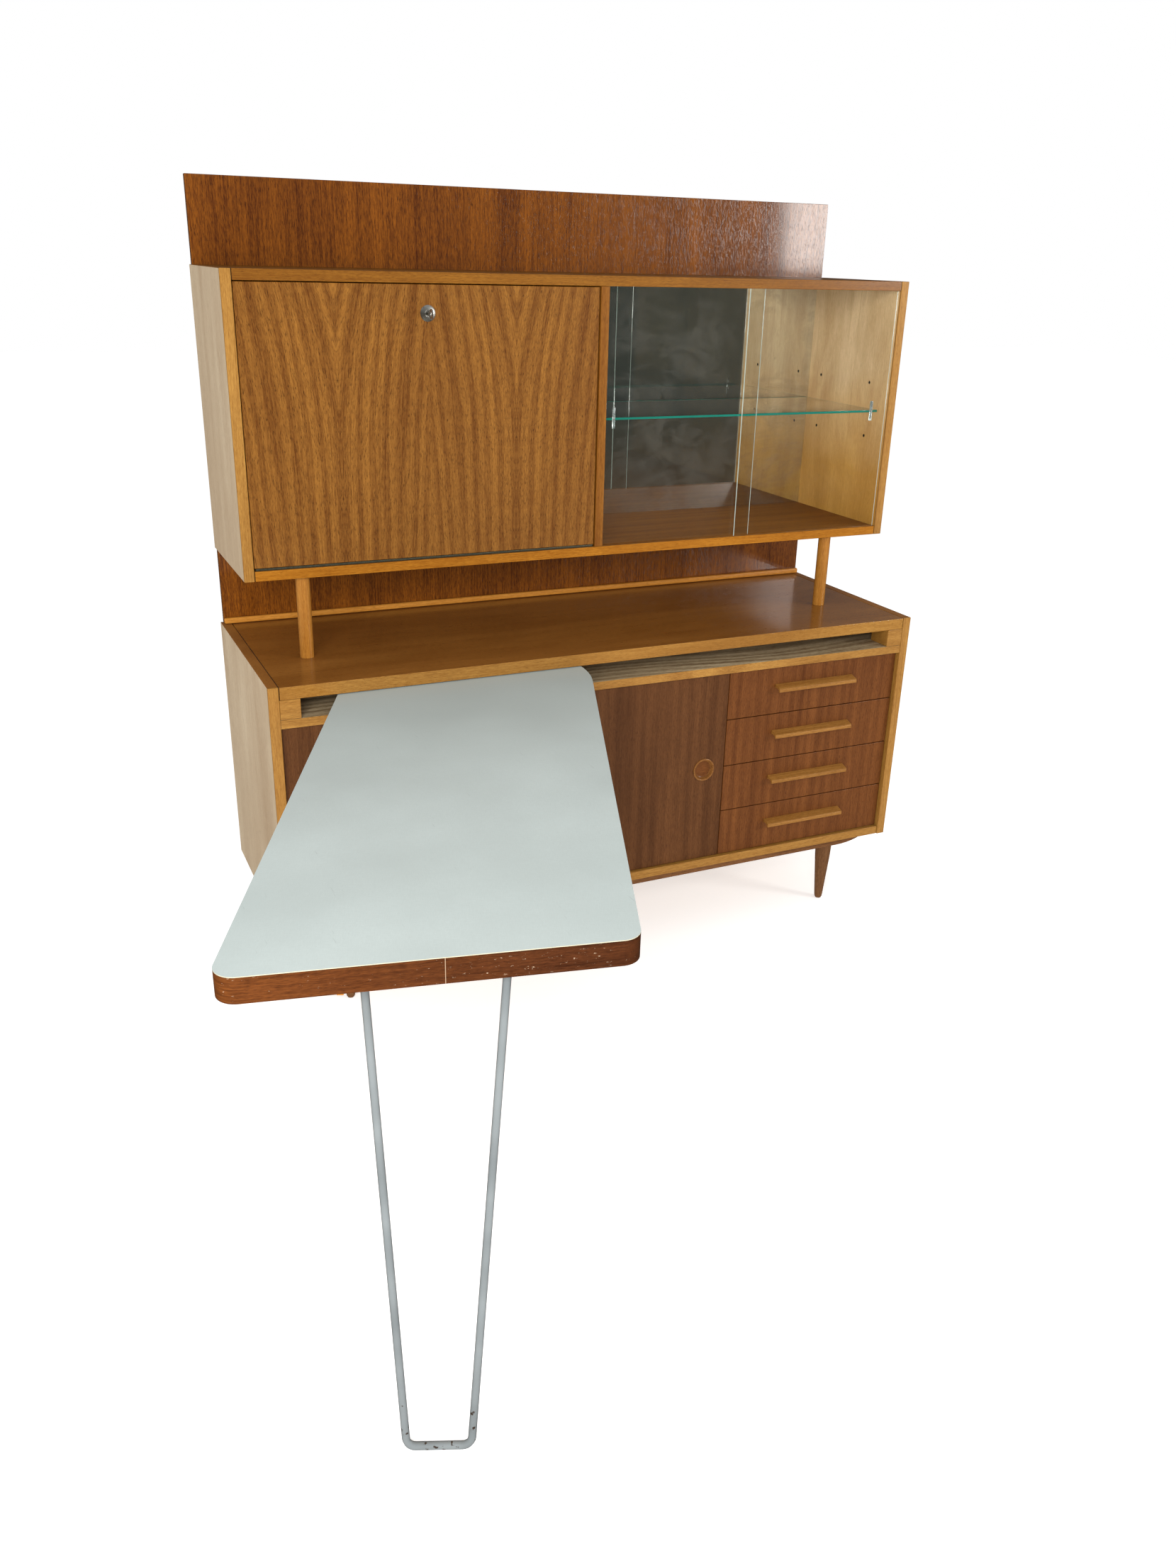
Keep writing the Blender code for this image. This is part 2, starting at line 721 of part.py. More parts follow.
def folding_leg(axis, core_low):
    half, deep = 0.080, 0.014
    bracket = board(
        "leg_bracket",
        (-half, FOLD_Y - deep, TABLE_LOW + 0.001),
        (half, FOLD_Y + deep, core_low - GAP),
        GREY_PAINT,
        axis,
    )
    bore = round_tool(
        "axle_bore", ROD_R + 0.0006, 2 * half + 0.02, (0.0, FOLD_Y, FOLD_Z), axis, LYING_X
    )
    cut(bracket, bore)

    block_x, block_near, block_low = -0.121, -1.2005, 0.7040
    wedge = ((-0.010, 0.0), (-0.005, -1.0), (0.004, -1.0), (0.010, 0.0))
    drop = core_low - GAP - block_low
    flat_shape(
        "leg_rest_block",
        [[(x, z * drop) for x, z in wedge]],
        0.030,
        LIGHT,
        axis,
        (block_x, block_near + 0.017, core_low - GAP),
        FACING_FRONT,
    )

    fold = axis_empty("leg_fold_axis", (0.0, FOLD_Y, FOLD_Z), axis, (-LEG_LEAN, 0.0, 0.0))
    reach = (FOLD_Z - ROD_R) / math.cos(LEG_LEAN)
    axle_in = 0.030
    corners = [
        Vector((-axle_in, 0.0, 0.0)),
        Vector((-ROD_TOP, 0.0, 0.0)),
        Vector((-ROD_FOOT, 0.0, -reach)),
        Vector((ROD_FOOT, 0.0, -reach)),
        Vector((ROD_TOP, 0.0, 0.0)),
        Vector((axle_in, 0.0, 0.0)),
    ]
    path = rounded(corners, [0.0] + [ROD_BEND] * 4 + [0.0], False, 6)
    curve = bpy.data.curves.new("hairpin_leg", "CURVE")
    curve.dimensions = "3D"
    curve.bevel_depth = ROD_R
    curve.bevel_resolution = 2
    curve.use_fill_caps = True
    spline = curve.splines.new("POLY")
    spline.points.add(len(path) - 1)
    for point, place in zip(spline.points, path):
        point.co = (*place, 1.0)
    add_piece("hairpin_leg", curve, GREY_PAINT, fold)


# ---- hutch --------------------------------------------------------------------------------------------
def stay_place(angle):
    """A point on the stays' circle, behind the upright by an angle, from the flap's hinge axis."""
    return (STAY_R * math.sin(angle), STAY_R * math.cos(angle))


def stay_planes():
    """Each stay's name, the X of its middle plane, and which way its wall lies."""
    return (("left", FLAP_X[0] + STAY_INSET, -1), ("right", FLAP_X[1] - STAY_INSET, 1))


def hutch_boards(desk):
    inner_low, inner_high = HUTCH_LOW + HUTCH_BOARD, HUTCH_HIGH - HUTCH_BOARD
    walls = {}
    for side, sign in (("left", -1), ("right", 1)):
        low_x, high_x = sorted((sign * HALF, sign * (HALF - HUTCH_BOARD)))
        walls[side] = board(
            f"hutch_side_{side}",
            (low_x, HUTCH_Y, HUTCH_LOW),
            (high_x, HUTCH_BACK, HUTCH_HIGH),
            GREY_WOOD,
            desk,
        )
    walls["divider"] = board(
        "hutch_divider",
        (HUTCH_DIVIDER[0], HUTCH_Y + FRONT_EDGE, inner_low + GAP),
        (HUTCH_DIVIDER[1], MIRROR_Y - GAP, inner_high - GAP),
        LIGHT,
        desk,
    )
    bottom = board(
        "hutch_bottom",
        (-HUTCH_INNER, HUTCH_Y + FRONT_EDGE, HUTCH_LOW),
        (HUTCH_INNER, HUTCH_BACK, inner_low),
        BROWN,
        desk,
    )
    top = board(
        "hutch_top",
        (-HUTCH_INNER, HUTCH_Y + FRONT_EDGE, inner_high),
        (HUTCH_INNER, HUTCH_BACK, HUTCH_HIGH),
        LIGHT,
        desk,
    )
    for track, near in (("front", FRONT_TRACK_Y), ("rear", REAR_TRACK_Y)):
        span = (HUTCH_DIVIDER[1] + GAP, HUTCH_INNER - 0.0005)
        upper = block_tool(
            f"{track}_track_above",
            (span[0], near, inner_high - 0.01),
            (span[1], near + TRACK, inner_high + TRACK_UP),
            desk,
        )
        cut(top, upper)
        lower = block_tool(
            f"{track}_track_below",
            (span[0], near, inner_low - TRACK_DOWN),
            (span[1], near + TRACK, inner_low + 0.01),
            desk,
        )
        cut(bottom, lower)

    lock_x = sum(FLAP_X) / 2
    cam_y = FLAP_AXIS[0] + FLAP_FACE + FLAP_THICK + CAM_BEHIND
    swept = math.sqrt(CAM_REACH**2 - (inner_high - LOCK_Z) ** 2)
    recess = block_tool(
        "cam_recess",
        (lock_x - CAM_HALF - 0.0015, cam_y - 0.001, inner_high - 0.01),
        (lock_x + swept + 0.002, cam_y + CAM_THICK + 0.001, inner_high + CAM_RECESS),
        desk,
    )
    cut(top, recess)

    pin_y, pin_z = stay_place(STAY_BACK)
    for (side, plane, sign), wall in zip(stay_planes(), (walls["left"], walls["divider"])):
        face = HUTCH_BOARD - HALF if side == "left" else HUTCH_DIVIDER[0]
        tip = plane - sign * (STAY_THICK / 2 + 0.0015)
        pin = round_tool(
            f"stay_pin_{side}",
            STUD_R,
            abs(face - tip) + 0.004,
            ((face + sign * 0.004 + tip) / 2, FLAP_AXIS[0] + pin_y, FLAP_AXIS[1] + pin_z),
            desk,
            LYING_X,
            sides=16,
        )
        join(wall, pin)

    pinned = ((walls["divider"], HUTCH_DIVIDER[1], 1), (walls["right"], HALF - HUTCH_BOARD, -1))
    for wall, face, sign in pinned:
        for number, along in enumerate(PIN_Y):
            peg = round_tool(
                f"{wall.name}_shelf_peg_{number + 1}",
                STUD_R,
                0.014,
                (face + sign * 0.004, along, SHELF_Z[0] - GAP - STUD_R),
                desk,
                LYING_X,
                sides=16,
            )
            join(wall, peg)
            for level, height in enumerate(SPARE_PIN_Z):
                hole = round_tool(
                    f"{wall.name}_pin_hole_{number + 1}_{level + 1}",
                    SPARE_HOLE_R,
                    0.014,
                    (face, along, height),
                    desk,
                    LYING_X,
                    sides=16,
                )
                cut(wall, hole)


def hutch_back(desk):
    inner_low, inner_high = HUTCH_LOW + HUTCH_BOARD, HUTCH_HIGH - HUTCH_BOARD
    board(
        "mirror",
        (HUTCH_DIVIDER[1] + GAP, MIRROR_Y, inner_low + GAP),
        (HUTCH_INNER, MIRROR_Y + MIRROR, inner_high - GAP),
        SILVER,
        desk,
        edge=0.0,
    )
    board(
        "back_panel",
        (-PANEL_HALF, PANEL_Y[0], TOP + GAP),
        (PANEL_HALF, PANEL_Y[1], PANEL_HIGH),
        MAHOGANY,
        desk,
    )
    board(
        "panel_strip",
        (-PANEL_HALF, STRIP_Y, TOP + GAP),
        (PANEL_HALF, PANEL_Y[0] - GAP, STRIP_HIGH),
        LIGHT,
        desk,
        edge=0.0025,
    )
    for side, across in zip(("left", "right"), POST_X):
        low, high = TOP_FACE + GAP, HUTCH_LOW - GAP
        profile = ((0.0, high), (POST_R, high), (POST_R, low), (0.0, low))
        turned(f"post_{side}", profile, LIGHT, desk, (across, POST_Y, 0.0), steps=40)


def glazing(desk):
    board(
        "glass_shelf",
        (HUTCH_DIVIDER[1] + 0.0015, SHELF_Y[0], SHELF_Z[0]),
        (HUTCH_INNER - 0.0015, SHELF_Y[1], SHELF_Z[1]),
        GLASS,
        desk,
        edge=0.0006,
    )
    low = HUTCH_LOW + HUTCH_BOARD - TRACK_DOWN + 0.0003
    high = HUTCH_HIGH - HUTCH_BOARD + TRACK_UP - 0.002
    play = (TRACK - PANE) / 2
    spans = (
        ("left", HUTCH_DIVIDER[1] + 0.0015, PANE_LAP[1], REAR_TRACK_Y + play),
        ("right", PANE_LAP[0], HUTCH_INNER - 0.0020, FRONT_TRACK_Y + play),
    )
    for side, start, end, near in spans:
        axis = axis_empty(f"{side}_pane_axis", ((start + end) / 2, near + PANE / 2, (low + high) / 2), desk)
        half = Vector(((end - start) / 2, PANE / 2, (high - low) / 2))
        board(f"glass_pane_{side}", -half, half, GLASS, axis, edge=0.0006)


# ---- drop-front flap, lock and stays ------------------------------------------------------------------
def flap(desk):
    centre = sum(FLAP_X) / 2
    half = (FLAP_X[1] - FLAP_X[0]) / 2
    axis = axis_empty("flap_axis", (centre, *FLAP_AXIS), desk)
    inner = FLAP_FACE + FLAP_THICK
    high = FLAP_HIGH - FLAP_AXIS[1]
    slab = board("flap", (-half, FLAP_FACE, FLAP_FOOT), (half, inner, high), SAPELE, axis)

    stud_angle = math.asin((inner + STAY_OUT) / STAY_R)
    stud_y, stud_z = stay_place(stud_angle)
    for side, plane, sign in stay_planes():
        local = plane - centre
        lug_near = local - sign * (STAY_THICK / 2 + 0.0005)
        lug_far = lug_near - sign * 0.007
        lug = block_tool(
            f"stay_lug_{side}",
            (min(lug_near, lug_far), inner - 0.004, stud_z - 0.006),
            (max(lug_near, lug_far), stud_y + 0.005, stud_z + 0.006),
            axis,
        )
        join(slab, lug)
        stud_tip = local + sign * (STAY_THICK / 2 + 0.0010)
        stud = round_tool(
            f"stay_stud_{side}",
            STUD_R,
            abs(stud_tip - lug_far) - 0.001,
            ((stud_tip + lug_far + sign * 0.001) / 2, stud_y, stud_z),
            axis,
            LYING_X,
            sides=16,
        )
        join(slab, stud)
        stay(side, local, stud_y, stud_z, axis)

    lock_high = LOCK_Z - FLAP_AXIS[1]
    bores = (("barrel", BARREL_R + GAP, BARREL + 0.0005), ("spindle", SPINDLE_R + GAP, 0.03))
    for step, radius, deep in bores:
        hole = round_tool(
            f"lock_{step}_hole", radius, 2 * deep, (0.0, FLAP_FACE, lock_high), axis, FACING_FRONT
        )
        cut(slab, hole)
    lock(axis, lock_high, inner)

    barrel = board(
        "flap_hinge",
        (FLAP_X[0] + 0.002, FLAP_AXIS[0] - HINGE_R + 0.0002, HUTCH_LOW + HUTCH_BOARD + GAP),
        (FLAP_X[1] - 0.002, FLAP_AXIS[0] + HINGE_R - 0.0002, FLAP_AXIS[1]),
        STEEL,
        desk,
        edge=0.0,
    )
    knuckles = round_tool(
        "flap_hinge_barrel",
        HINGE_R,
        2 * half - 0.0042,
        (centre, *FLAP_AXIS),
        desk,
        LYING_X,
        sides=20,
    )
    join(barrel, knuckles)


def stay(side, local, stud_y, stud_z, axis):
    """A slotted arm: it turns on the flap's stud and slides along the pin in the wall beside it."""
    pin_y, pin_z = stay_place(STAY_BACK)
    slope = math.atan2(pin_z - stud_z, pin_y - stud_y)
    shut = math.hypot(pin_y - stud_y, pin_z - stud_z)
    open_angle = STAY_BACK - math.atan2(stud_y, stud_z) + math.radians(90)
    drawn = 2 * STAY_R * math.sin(open_angle / 2)
    plate = capsule(0.0, STAY_LONG, STAY_HALF)
    slot = capsule(shut, drawn, STUD_HOLE_R)
    turn = axis_empty(f"stay_{side}_axis", (local, stud_y, stud_z), axis, (slope, 0.0, 0.0))
    flat_shape(
        f"flap_stay_{side}",
        [plate, slot, circle(STUD_HOLE_R, steps=16)],
        STAY_THICK,
        STEEL,
        turn,
        (0.0, 0.0, 0.0),
        ALONG_X,
    )


def lock(axis, lock_high, inner):
    """Domed rosette with its barrel, and the key, which turns the cam behind the flap."""
    rosette = (
        (0.0, -0.0090),
        (0.0034, -0.0090),
        (0.0034, 0.0036),
        (0.0080, 0.0034),
        (0.0125, 0.0024),
        (0.0150, 0.0012),
        (LOCK_R, GAP),
        (BARREL_R, GAP),
        (BARREL_R, -BARREL),
        (0.0, -BARREL),
    )
    place = (0.0, FLAP_FACE, lock_high)
    turned("lock_cylinder", rosette, NICKEL, axis, place, FACING_FRONT, steps=40)

    key_axis = axis_empty("key_axis", place, axis)
    stem = ((0.0, 0.0165), (0.0028, 0.0165), (0.0028, -0.0085), (0.0, -0.0085))
    key = turned("key", stem, NICKEL, key_axis, (0.0, 0.0, 0.0), FACING_FRONT, steps=20)
    bpy.ops.mesh.primitive_torus_add(
        major_radius=0.0075, minor_radius=0.0019, major_segments=28, minor_segments=10
    )
    bow = bpy.context.object
    for holder in list(bow.users_collection):
        holder.objects.unlink(bow)
    bow.name = "key_bow"
    set_aside(bow, key_axis, (0.0, -0.0228, 0.0), LYING_X)
    join(key, bow)

    near = inner - FLAP_FACE + CAM_BEHIND
    cam = flat_shape(
        "lock_cam",
        [capsule(0.0, CAM_REACH - CAM_HALF, CAM_HALF)],
        CAM_THICK,
        NICKEL,
        key_axis,
        (0.0, near + CAM_THICK / 2, 0.0),
        FACING_FRONT,
    )
    cam = as_mesh(cam)
    spindle_long = near + CAM_THICK / 2 - BARREL - GAP
    spindle = round_tool(
        "lock_spindle",
        SPINDLE_R,
        spindle_long,
        (0.0, BARREL + GAP + spindle_long / 2, 0.0),
        key_axis,
        FACING_FRONT,
    )
    join(cam, spindle)


def shade_round_pieces():
    """Smooth shading on the turned and bent pieces, with their hard edges kept."""
    for piece in PARTS.objects:
        if piece.type == "MESH" and any(step.type == "SCREW" for step in piece.modifiers):
            piece.data.shade_smooth()
            piece.modifiers["turning"].use_smooth_shade = True


def build():
    for old in list(bpy.data.objects):
        bpy.data.objects.remove(old)
    for collection in (PARTS, CUTTERS):
        bpy.context.scene.collection.children.link(collection)
    desk = axis_empty("desk", DESK_PLACE, None)
    lower_carcase(desk)
    top_and_rail(desk)
    battens_and_legs(desk)
    door("left", DOOR_EDGES[0], DOOR_EDGES[1], desk)
    door("middle", DOOR_EDGES[2], DOOR_EDGES[3], desk)
    for number in range(DRAWERS):
        drawer(number, desk)
    table(desk)
    hutch_boards(desk)
    hutch_back(desk)
    glazing(desk)
    flap(desk)
    shade_round_pieces()


build()
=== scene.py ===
"""The looks of the secretary desk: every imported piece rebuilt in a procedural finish, many with eased
edges, the clear finger pulls, the back sheet's screw heads, the floor, the light and the camera.

Metres, +Z up. X_MID and FRONT carry the cabinet's own frame, which its sides give: X from the cabinet's
middle, Y back from its front plane, Z up from the floor.
"""

import json
import math

import bmesh
import bpy
from mathutils import Matrix, Vector

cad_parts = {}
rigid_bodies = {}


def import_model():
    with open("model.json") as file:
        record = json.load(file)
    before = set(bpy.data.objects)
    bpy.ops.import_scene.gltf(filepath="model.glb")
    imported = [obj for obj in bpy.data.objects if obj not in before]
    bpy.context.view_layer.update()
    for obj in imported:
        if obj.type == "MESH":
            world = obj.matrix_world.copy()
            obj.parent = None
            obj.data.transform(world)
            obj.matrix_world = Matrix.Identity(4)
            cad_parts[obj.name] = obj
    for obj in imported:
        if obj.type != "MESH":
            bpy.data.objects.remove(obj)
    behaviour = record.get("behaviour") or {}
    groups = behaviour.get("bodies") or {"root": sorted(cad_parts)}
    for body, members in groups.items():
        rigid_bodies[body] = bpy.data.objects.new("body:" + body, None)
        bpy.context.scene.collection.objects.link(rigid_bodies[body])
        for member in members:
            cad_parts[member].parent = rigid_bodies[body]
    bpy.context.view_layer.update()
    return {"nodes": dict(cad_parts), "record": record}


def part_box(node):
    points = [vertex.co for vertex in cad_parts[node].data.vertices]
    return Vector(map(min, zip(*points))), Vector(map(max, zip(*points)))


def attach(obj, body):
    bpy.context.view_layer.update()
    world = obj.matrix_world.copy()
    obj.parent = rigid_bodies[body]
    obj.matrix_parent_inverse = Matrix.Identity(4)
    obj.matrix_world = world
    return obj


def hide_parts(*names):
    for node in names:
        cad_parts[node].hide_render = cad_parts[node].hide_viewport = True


for leftover in list(bpy.data.objects):
    bpy.data.objects.remove(leftover, do_unlink=True)
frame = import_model()

X_MID = (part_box("lower_side_left")[0].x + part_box("lower_side_right")[1].x) / 2
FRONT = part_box("lower_side_left")[0].y
SIDES = (("left", -1), ("right", 1))  # and the way each looks, along X

# ---- camera, light and floor --------------------------------------------------------------------------
CAMERA_PLACE = (-1.2406, -2.4253, 1.6065)  # in the cabinet's own frame
CAMERA_YAW = 0.4451
CAMERA_PITCH = -0.3995
CAMERA_ROLL = 0.0277
LENS = 28.81
SENSOR = 36.0
CLIP_END = 200.0

FLOOR_SIZE = 40.0
FLOOR_DROP = 0.0005  # the paper lies this far under the feet
FLOOR_GLOW = 0.42
SKY_LIGHT = 0.68
WHITE = (1.0, 1.0, 1.0)
ROOM_LOW = (0.045, 0.047, 0.040)
ROOM_HIGH = (0.30, 0.31, 0.32)
ROOM_FLOOR = (0.066, 0.046, 0.030)
ROOM_RISE = (0.05, 0.75)  # how steep a reflected ray climbs where the room turns from low to high
ROOM_GROUND = (-0.11, -0.17)  # and falls, where the room's floor begins

# ---- places, in the cabinet's own frame ---------------------------------------------------------------
TABLE_TURN = math.radians(22.3)
HUTCH_SET_BACK = 0.159
LIPPING = 0.005  # thickness of the lipping on a side's front edge
LEAF_SEAM = (0.1552, 0.1562)  # the seam between the veneer leaves inside the hutch, back from its front
BIRCH_SHADE_TO_SHEEN = (1.10, 1.34)  # heights between which the hutch's birch turns from painted shade below to a painted sheen above
FLAP_SEAMS = (-0.585, -0.200)  # the seams where the leaves' stripes make a V
GAP_SHADE_HALF = 0.0015
LAMINATE_SHADE_SPAN = (-0.55, 0.05)  # where painted shade darkens the laminate towards the cabinet, back from the front plane
BAND_NEAR = 0.1  # the table's near side is this deep
BAND_JOINT = 0.54  # where the band's two lengths meet on that side, as a share from the left
BAND_JOINT_HALF = 0.0004
BAND_BLEND = (-0.25, 0.15)  # where the band's tone turns, to the right of the joint
CHIPPED = (0.03, 0.5)  # heights between which the hairpin leg's chips thin out
CUP_HOLLOW = (0.0205, 0.0220)  # where the cup pull's hollow meets its ring, out from the middle
PIN_DEEP = (0.246, 0.455)  # the shelf pins' holes, back from the front plane
SPARE_PIN_Z = (1.201, 1.3295)
PIN_HOLE_REACH = 0.004  # a face this near to a hole's middle is inside the hole

PULL_HIGH = 0.046
PULL_Z = 1.271
PULL_INSET = {"left": 0.0245, "right": 0.044}  # in from the pane's outer edge
PULL_OUTLINE = (  # towards the pane's outer edge, and out from its face
    (-0.0035, 0.0),
    (-0.0035, 0.0008),
    (0.0005, 0.0011),
    (0.0018, 0.0030),
    (0.0033, 0.0030),
    (0.0033, 0.0),
)
PULL_EASE = 0.0004

SCREW_R = 0.0035
SCREW_INSET = 0.012
SCREW_GAPS = 6  # along the top edge and the bottom edge
SCREW_STEPS = 20
SCREW_RINGS = ((0.0, 1.0), (0.35, 0.96), (0.62, 0.80), (0.80, 0.50))  # height and reach, in shares of SCREW_R
SCREW_FLAT = 0.5  # the heights are lowered by this
SCREW_CROWN = 0.7  # a ring above this height is squeezed into a bar, which reads as the slot
SCREW_SQUEEZE = 0.25

# ---- rebuilt meshes -----------------------------------------------------------------------------------
WELD = 0.00002
FLAT_ANGLE = math.radians(0.5)
SHARP_ANGLE = math.radians(35)
SMOOTH_ANGLE = math.radians(50)
SCREW_SMOOTH_ANGLE = math.radians(40)
BEVEL = {"segments": 2, "profile": 0.6, "affect": "EDGES"}
EASE = 0.0005  # radius of a board's rounded edges
FRONT_EASE = 0.0004
HAND_EASE = 0.0006
BATTEN_EASE = 0.0008
THIN_EASE = 0.0003


def own(x, y, z):
    """A point of the cabinet's own frame, in the world."""
    return Vector((x + X_MID, y + FRONT, z))


def linear(red, green, blue):
    """A colour of eight-bit sRGB screen values, for a shader."""
    return tuple(
        value / 12.92 if value <= 0.04045 else ((value + 0.055) / 1.055) ** 2.4
        for value in (red / 255, green / 255, blue / 255)
    )


def wood_tones(*colours):
    """The dark, middle and light tone of a wood, from screen values."""
    return tuple(linear(*colour) for colour in colours)


def shade(tone, share):
    return tuple(value * share for value in tone)


# ---- shader building ----------------------------------------------------------------------------------
NOISE_RANGE = (0.3, 0.7)  # where nearly all values of a noise lie
RANGE_SOCKETS = ("From Min", "From Max", "To Min", "To Max")
MIX_FIRST, MIX_SECOND, MIX_RESULT = 6, 7, 2  # the mix node's colour sockets


class Nodes:
    """A node tree and the few moves that its makers share."""

    def __init__(self, tree):
        self.tree = tree

    def node(self, kind, **settings):
        made = self.tree.nodes.new(kind)
        for name, value in settings.items():
            setattr(made, name, value)
        return made

    def feed(self, socket, value):
        """Give a socket a link or a constant."""
        if isinstance(value, bpy.types.NodeSocket):
            self.tree.links.new(value, socket)
        elif isinstance(value, tuple) and len(value) == 3 and socket.type == "RGBA":
            socket.default_value = (*value, 1.0)
        else:
            socket.default_value = value

    def math(self, operation, *values):
        made = self.node("ShaderNodeMath", operation=operation)
        for socket, value in zip(made.inputs, values):
            self.feed(socket, value)
        return made.outputs[0]

    def plus(self, first, second):
        return self.math("ADD", first, second)

    def minus(self, first, second):
        return self.math("SUBTRACT", first, second)

    def times(self, first, second):
        return self.math("MULTIPLY", first, second)

    def split(self, vector):
        made = self.node("ShaderNodeSeparateXYZ")
        self.feed(made.inputs[0], vector)
        return made.outputs[0], made.outputs[1], made.outputs[2]

    def join(self, x, y, z):
        made = self.node("ShaderNodeCombineXYZ")
        for socket, value in zip(made.inputs, (x, y, z)):
            self.feed(socket, value)
        return made.outputs[0]

    def stretch(self, vector, scale=(1.0, 1.0, 1.0), shift=(0.0, 0.0, 0.0), turn=0.0):
        """Scale the vector, turn it about Z and shift it."""
        made = self.node("ShaderNodeMapping")
        self.feed(made.inputs["Vector"], vector)
        made.inputs["Location"].default_value = shift
        made.inputs["Rotation"].default_value = (0.0, 0.0, turn)
        made.inputs["Scale"].default_value = scale
        return made.outputs[0]

    def noise(self, vector, scale=1.0, detail=2.0, roughness=0.5, distortion=0.0):
        made = self.node("ShaderNodeTexNoise")
        self.feed(made.inputs["Vector"], vector)
        made.inputs["Scale"].default_value = scale
        made.inputs["Detail"].default_value = detail
        made.inputs["Roughness"].default_value = roughness
        made.inputs["Distortion"].default_value = distortion
        return made.outputs["Fac"]

    def drawn_noise(self, vector, scale, detail=2.0, roughness=0.5, distortion=0.0, turn=0.0):
        """A noise with its own scale along each axis."""
        return self.noise(self.stretch(vector, scale, turn=turn), 1.0, detail, roughness, distortion)

    def spread(self, value, low, high, to_low=0.0, to_high=1.0):
        """Map low..high to to_low..to_high, clamped."""
        made = self.node("ShaderNodeMapRange")
        self.feed(made.inputs["Value"], value)
        for socket, number in zip(RANGE_SOCKETS, (low, high, to_low, to_high)):
            made.inputs[socket].default_value = number
        return made.outputs[0]

    def even(self, noise, to_low=0.0, to_high=1.0):
        """Map a noise's usual range to to_low..to_high."""
        return self.spread(noise, *NOISE_RANGE, to_low, to_high)

    def mix(self, share, first, second):
        made = self.node("ShaderNodeMix", data_type="RGBA", blend_type="MIX")
        self.feed(made.inputs[0], share)
        self.feed(made.inputs[MIX_FIRST], first)
        self.feed(made.inputs[MIX_SECOND], second)
        return made.outputs[MIX_RESULT]

    def between(self, value, low, high, soft=0.0003):
        """1 where the value lies between low and high, 0 elsewhere."""
        above = self.spread(value, low - soft, low + soft)
        below = self.spread(value, high - soft, high + soft, 1.0, 0.0)
        return self.times(above, below)


class Finish(Nodes):
    """One material."""

    def __init__(self, name, **settings):
        self.material = bpy.data.materials.new(name)
        self.material.use_nodes = True
        super().__init__(self.material.node_tree)
        self.shader = self.tree.nodes["Principled BSDF"]
        coordinates = self.node("ShaderNodeTexCoord")
        self.place = coordinates.outputs["Object"]
        self.facing = coordinates.outputs["Normal"]
        for socket, value in settings.items():
            self.shader.inputs[socket.replace("_", " ")].default_value = value

    def looks_along(self, axis, sign=1, low=0.45, high=0.6):
        """1 on the faces that look along an axis, 0 on those that don't."""
        outward = self.times(self.split(self.facing)["XYZ".index(axis)], sign)
        return self.spread(outward, low, high)

    def bump(self, height, strength, distance):
        made = self.node("ShaderNodeBump")
        made.inputs["Strength"].default_value = strength
        made.inputs["Distance"].default_value = distance
        self.feed(made.inputs["Height"], height)
        self.feed(self.shader.inputs["Normal"], made.outputs[0])
        return made.outputs[0]

    def colour(self, value):
        self.feed(self.shader.inputs["Base Color"], value)

    def rough(self, value):
        self.feed(self.shader.inputs["Roughness"], value)


# ---- wood ---------------------------------------------------------------------------------------------
ORDER = {"X": (1, 2, 0), "Y": (0, 2, 1), "Z": (0, 1, 2)}  # across, across, along the fibres
SEED_STEP = (0.731, 0.317, 1.13)  # how far one seed moves the grain, along these three
# how close a grain's marks stand, across, across and along the fibres
FIGURE_WAVES = (2.0, 2.0, 0.9)
FIBRE_LINES = (420.0, 420.0, 9.0)
FIBRE_FLECKS = (560.0, 560.0, 70.0)
PORE_DASHES = (1300.0, 1300.0, 110.0)
CLOUDS = (5.0, 5.0, 2.2)
STRIPE_WANDER = 1.4  # in stripes
PORE_DARK = 0.4
PORE_DEEP = 0.00007
ROUGH_PLAY = 0.06

CALM = {"stripe": 0.8, "pores": 0.2, "patch": 0.4}
INSIDE = {"stripe": 0.8, "pores": 0.2, "patch": 0.3}
TRIM = {"stripe": 0.5, "pores": 0.35, "patch": 0.3}
FLAMED = {"stripe": 0.7, "pores": 0.3, "patch": 0.2, "lines": 0.5}
RIBBON = {"stripe": 0.8, "pores": 0.5, "patch": 0.5, "lines": 0.6}
PANEL = {"stripe": 0.8, "pores": 0.75, "patch": 0.3, "lines": 1.0}
FLAP = {"stripe": 0.9, "pores": 0.8, "patch": 0.35, "lines": 0.85}
BAND = {"stripe": 0.6, "pores": 0.4, "patch": 0.4}


def grain_space(finish, fibre, seed, turn=0.0):
    """Coordinates with the fibres along the third axis, moved by a seed so that each board differs."""
    axes = finish.split(finish.stretch(finish.place, turn=turn))
    return finish.join(
        *(finish.plus(axes[number], seed * step) for number, step in zip(ORDER[fibre], SEED_STEP))
    )


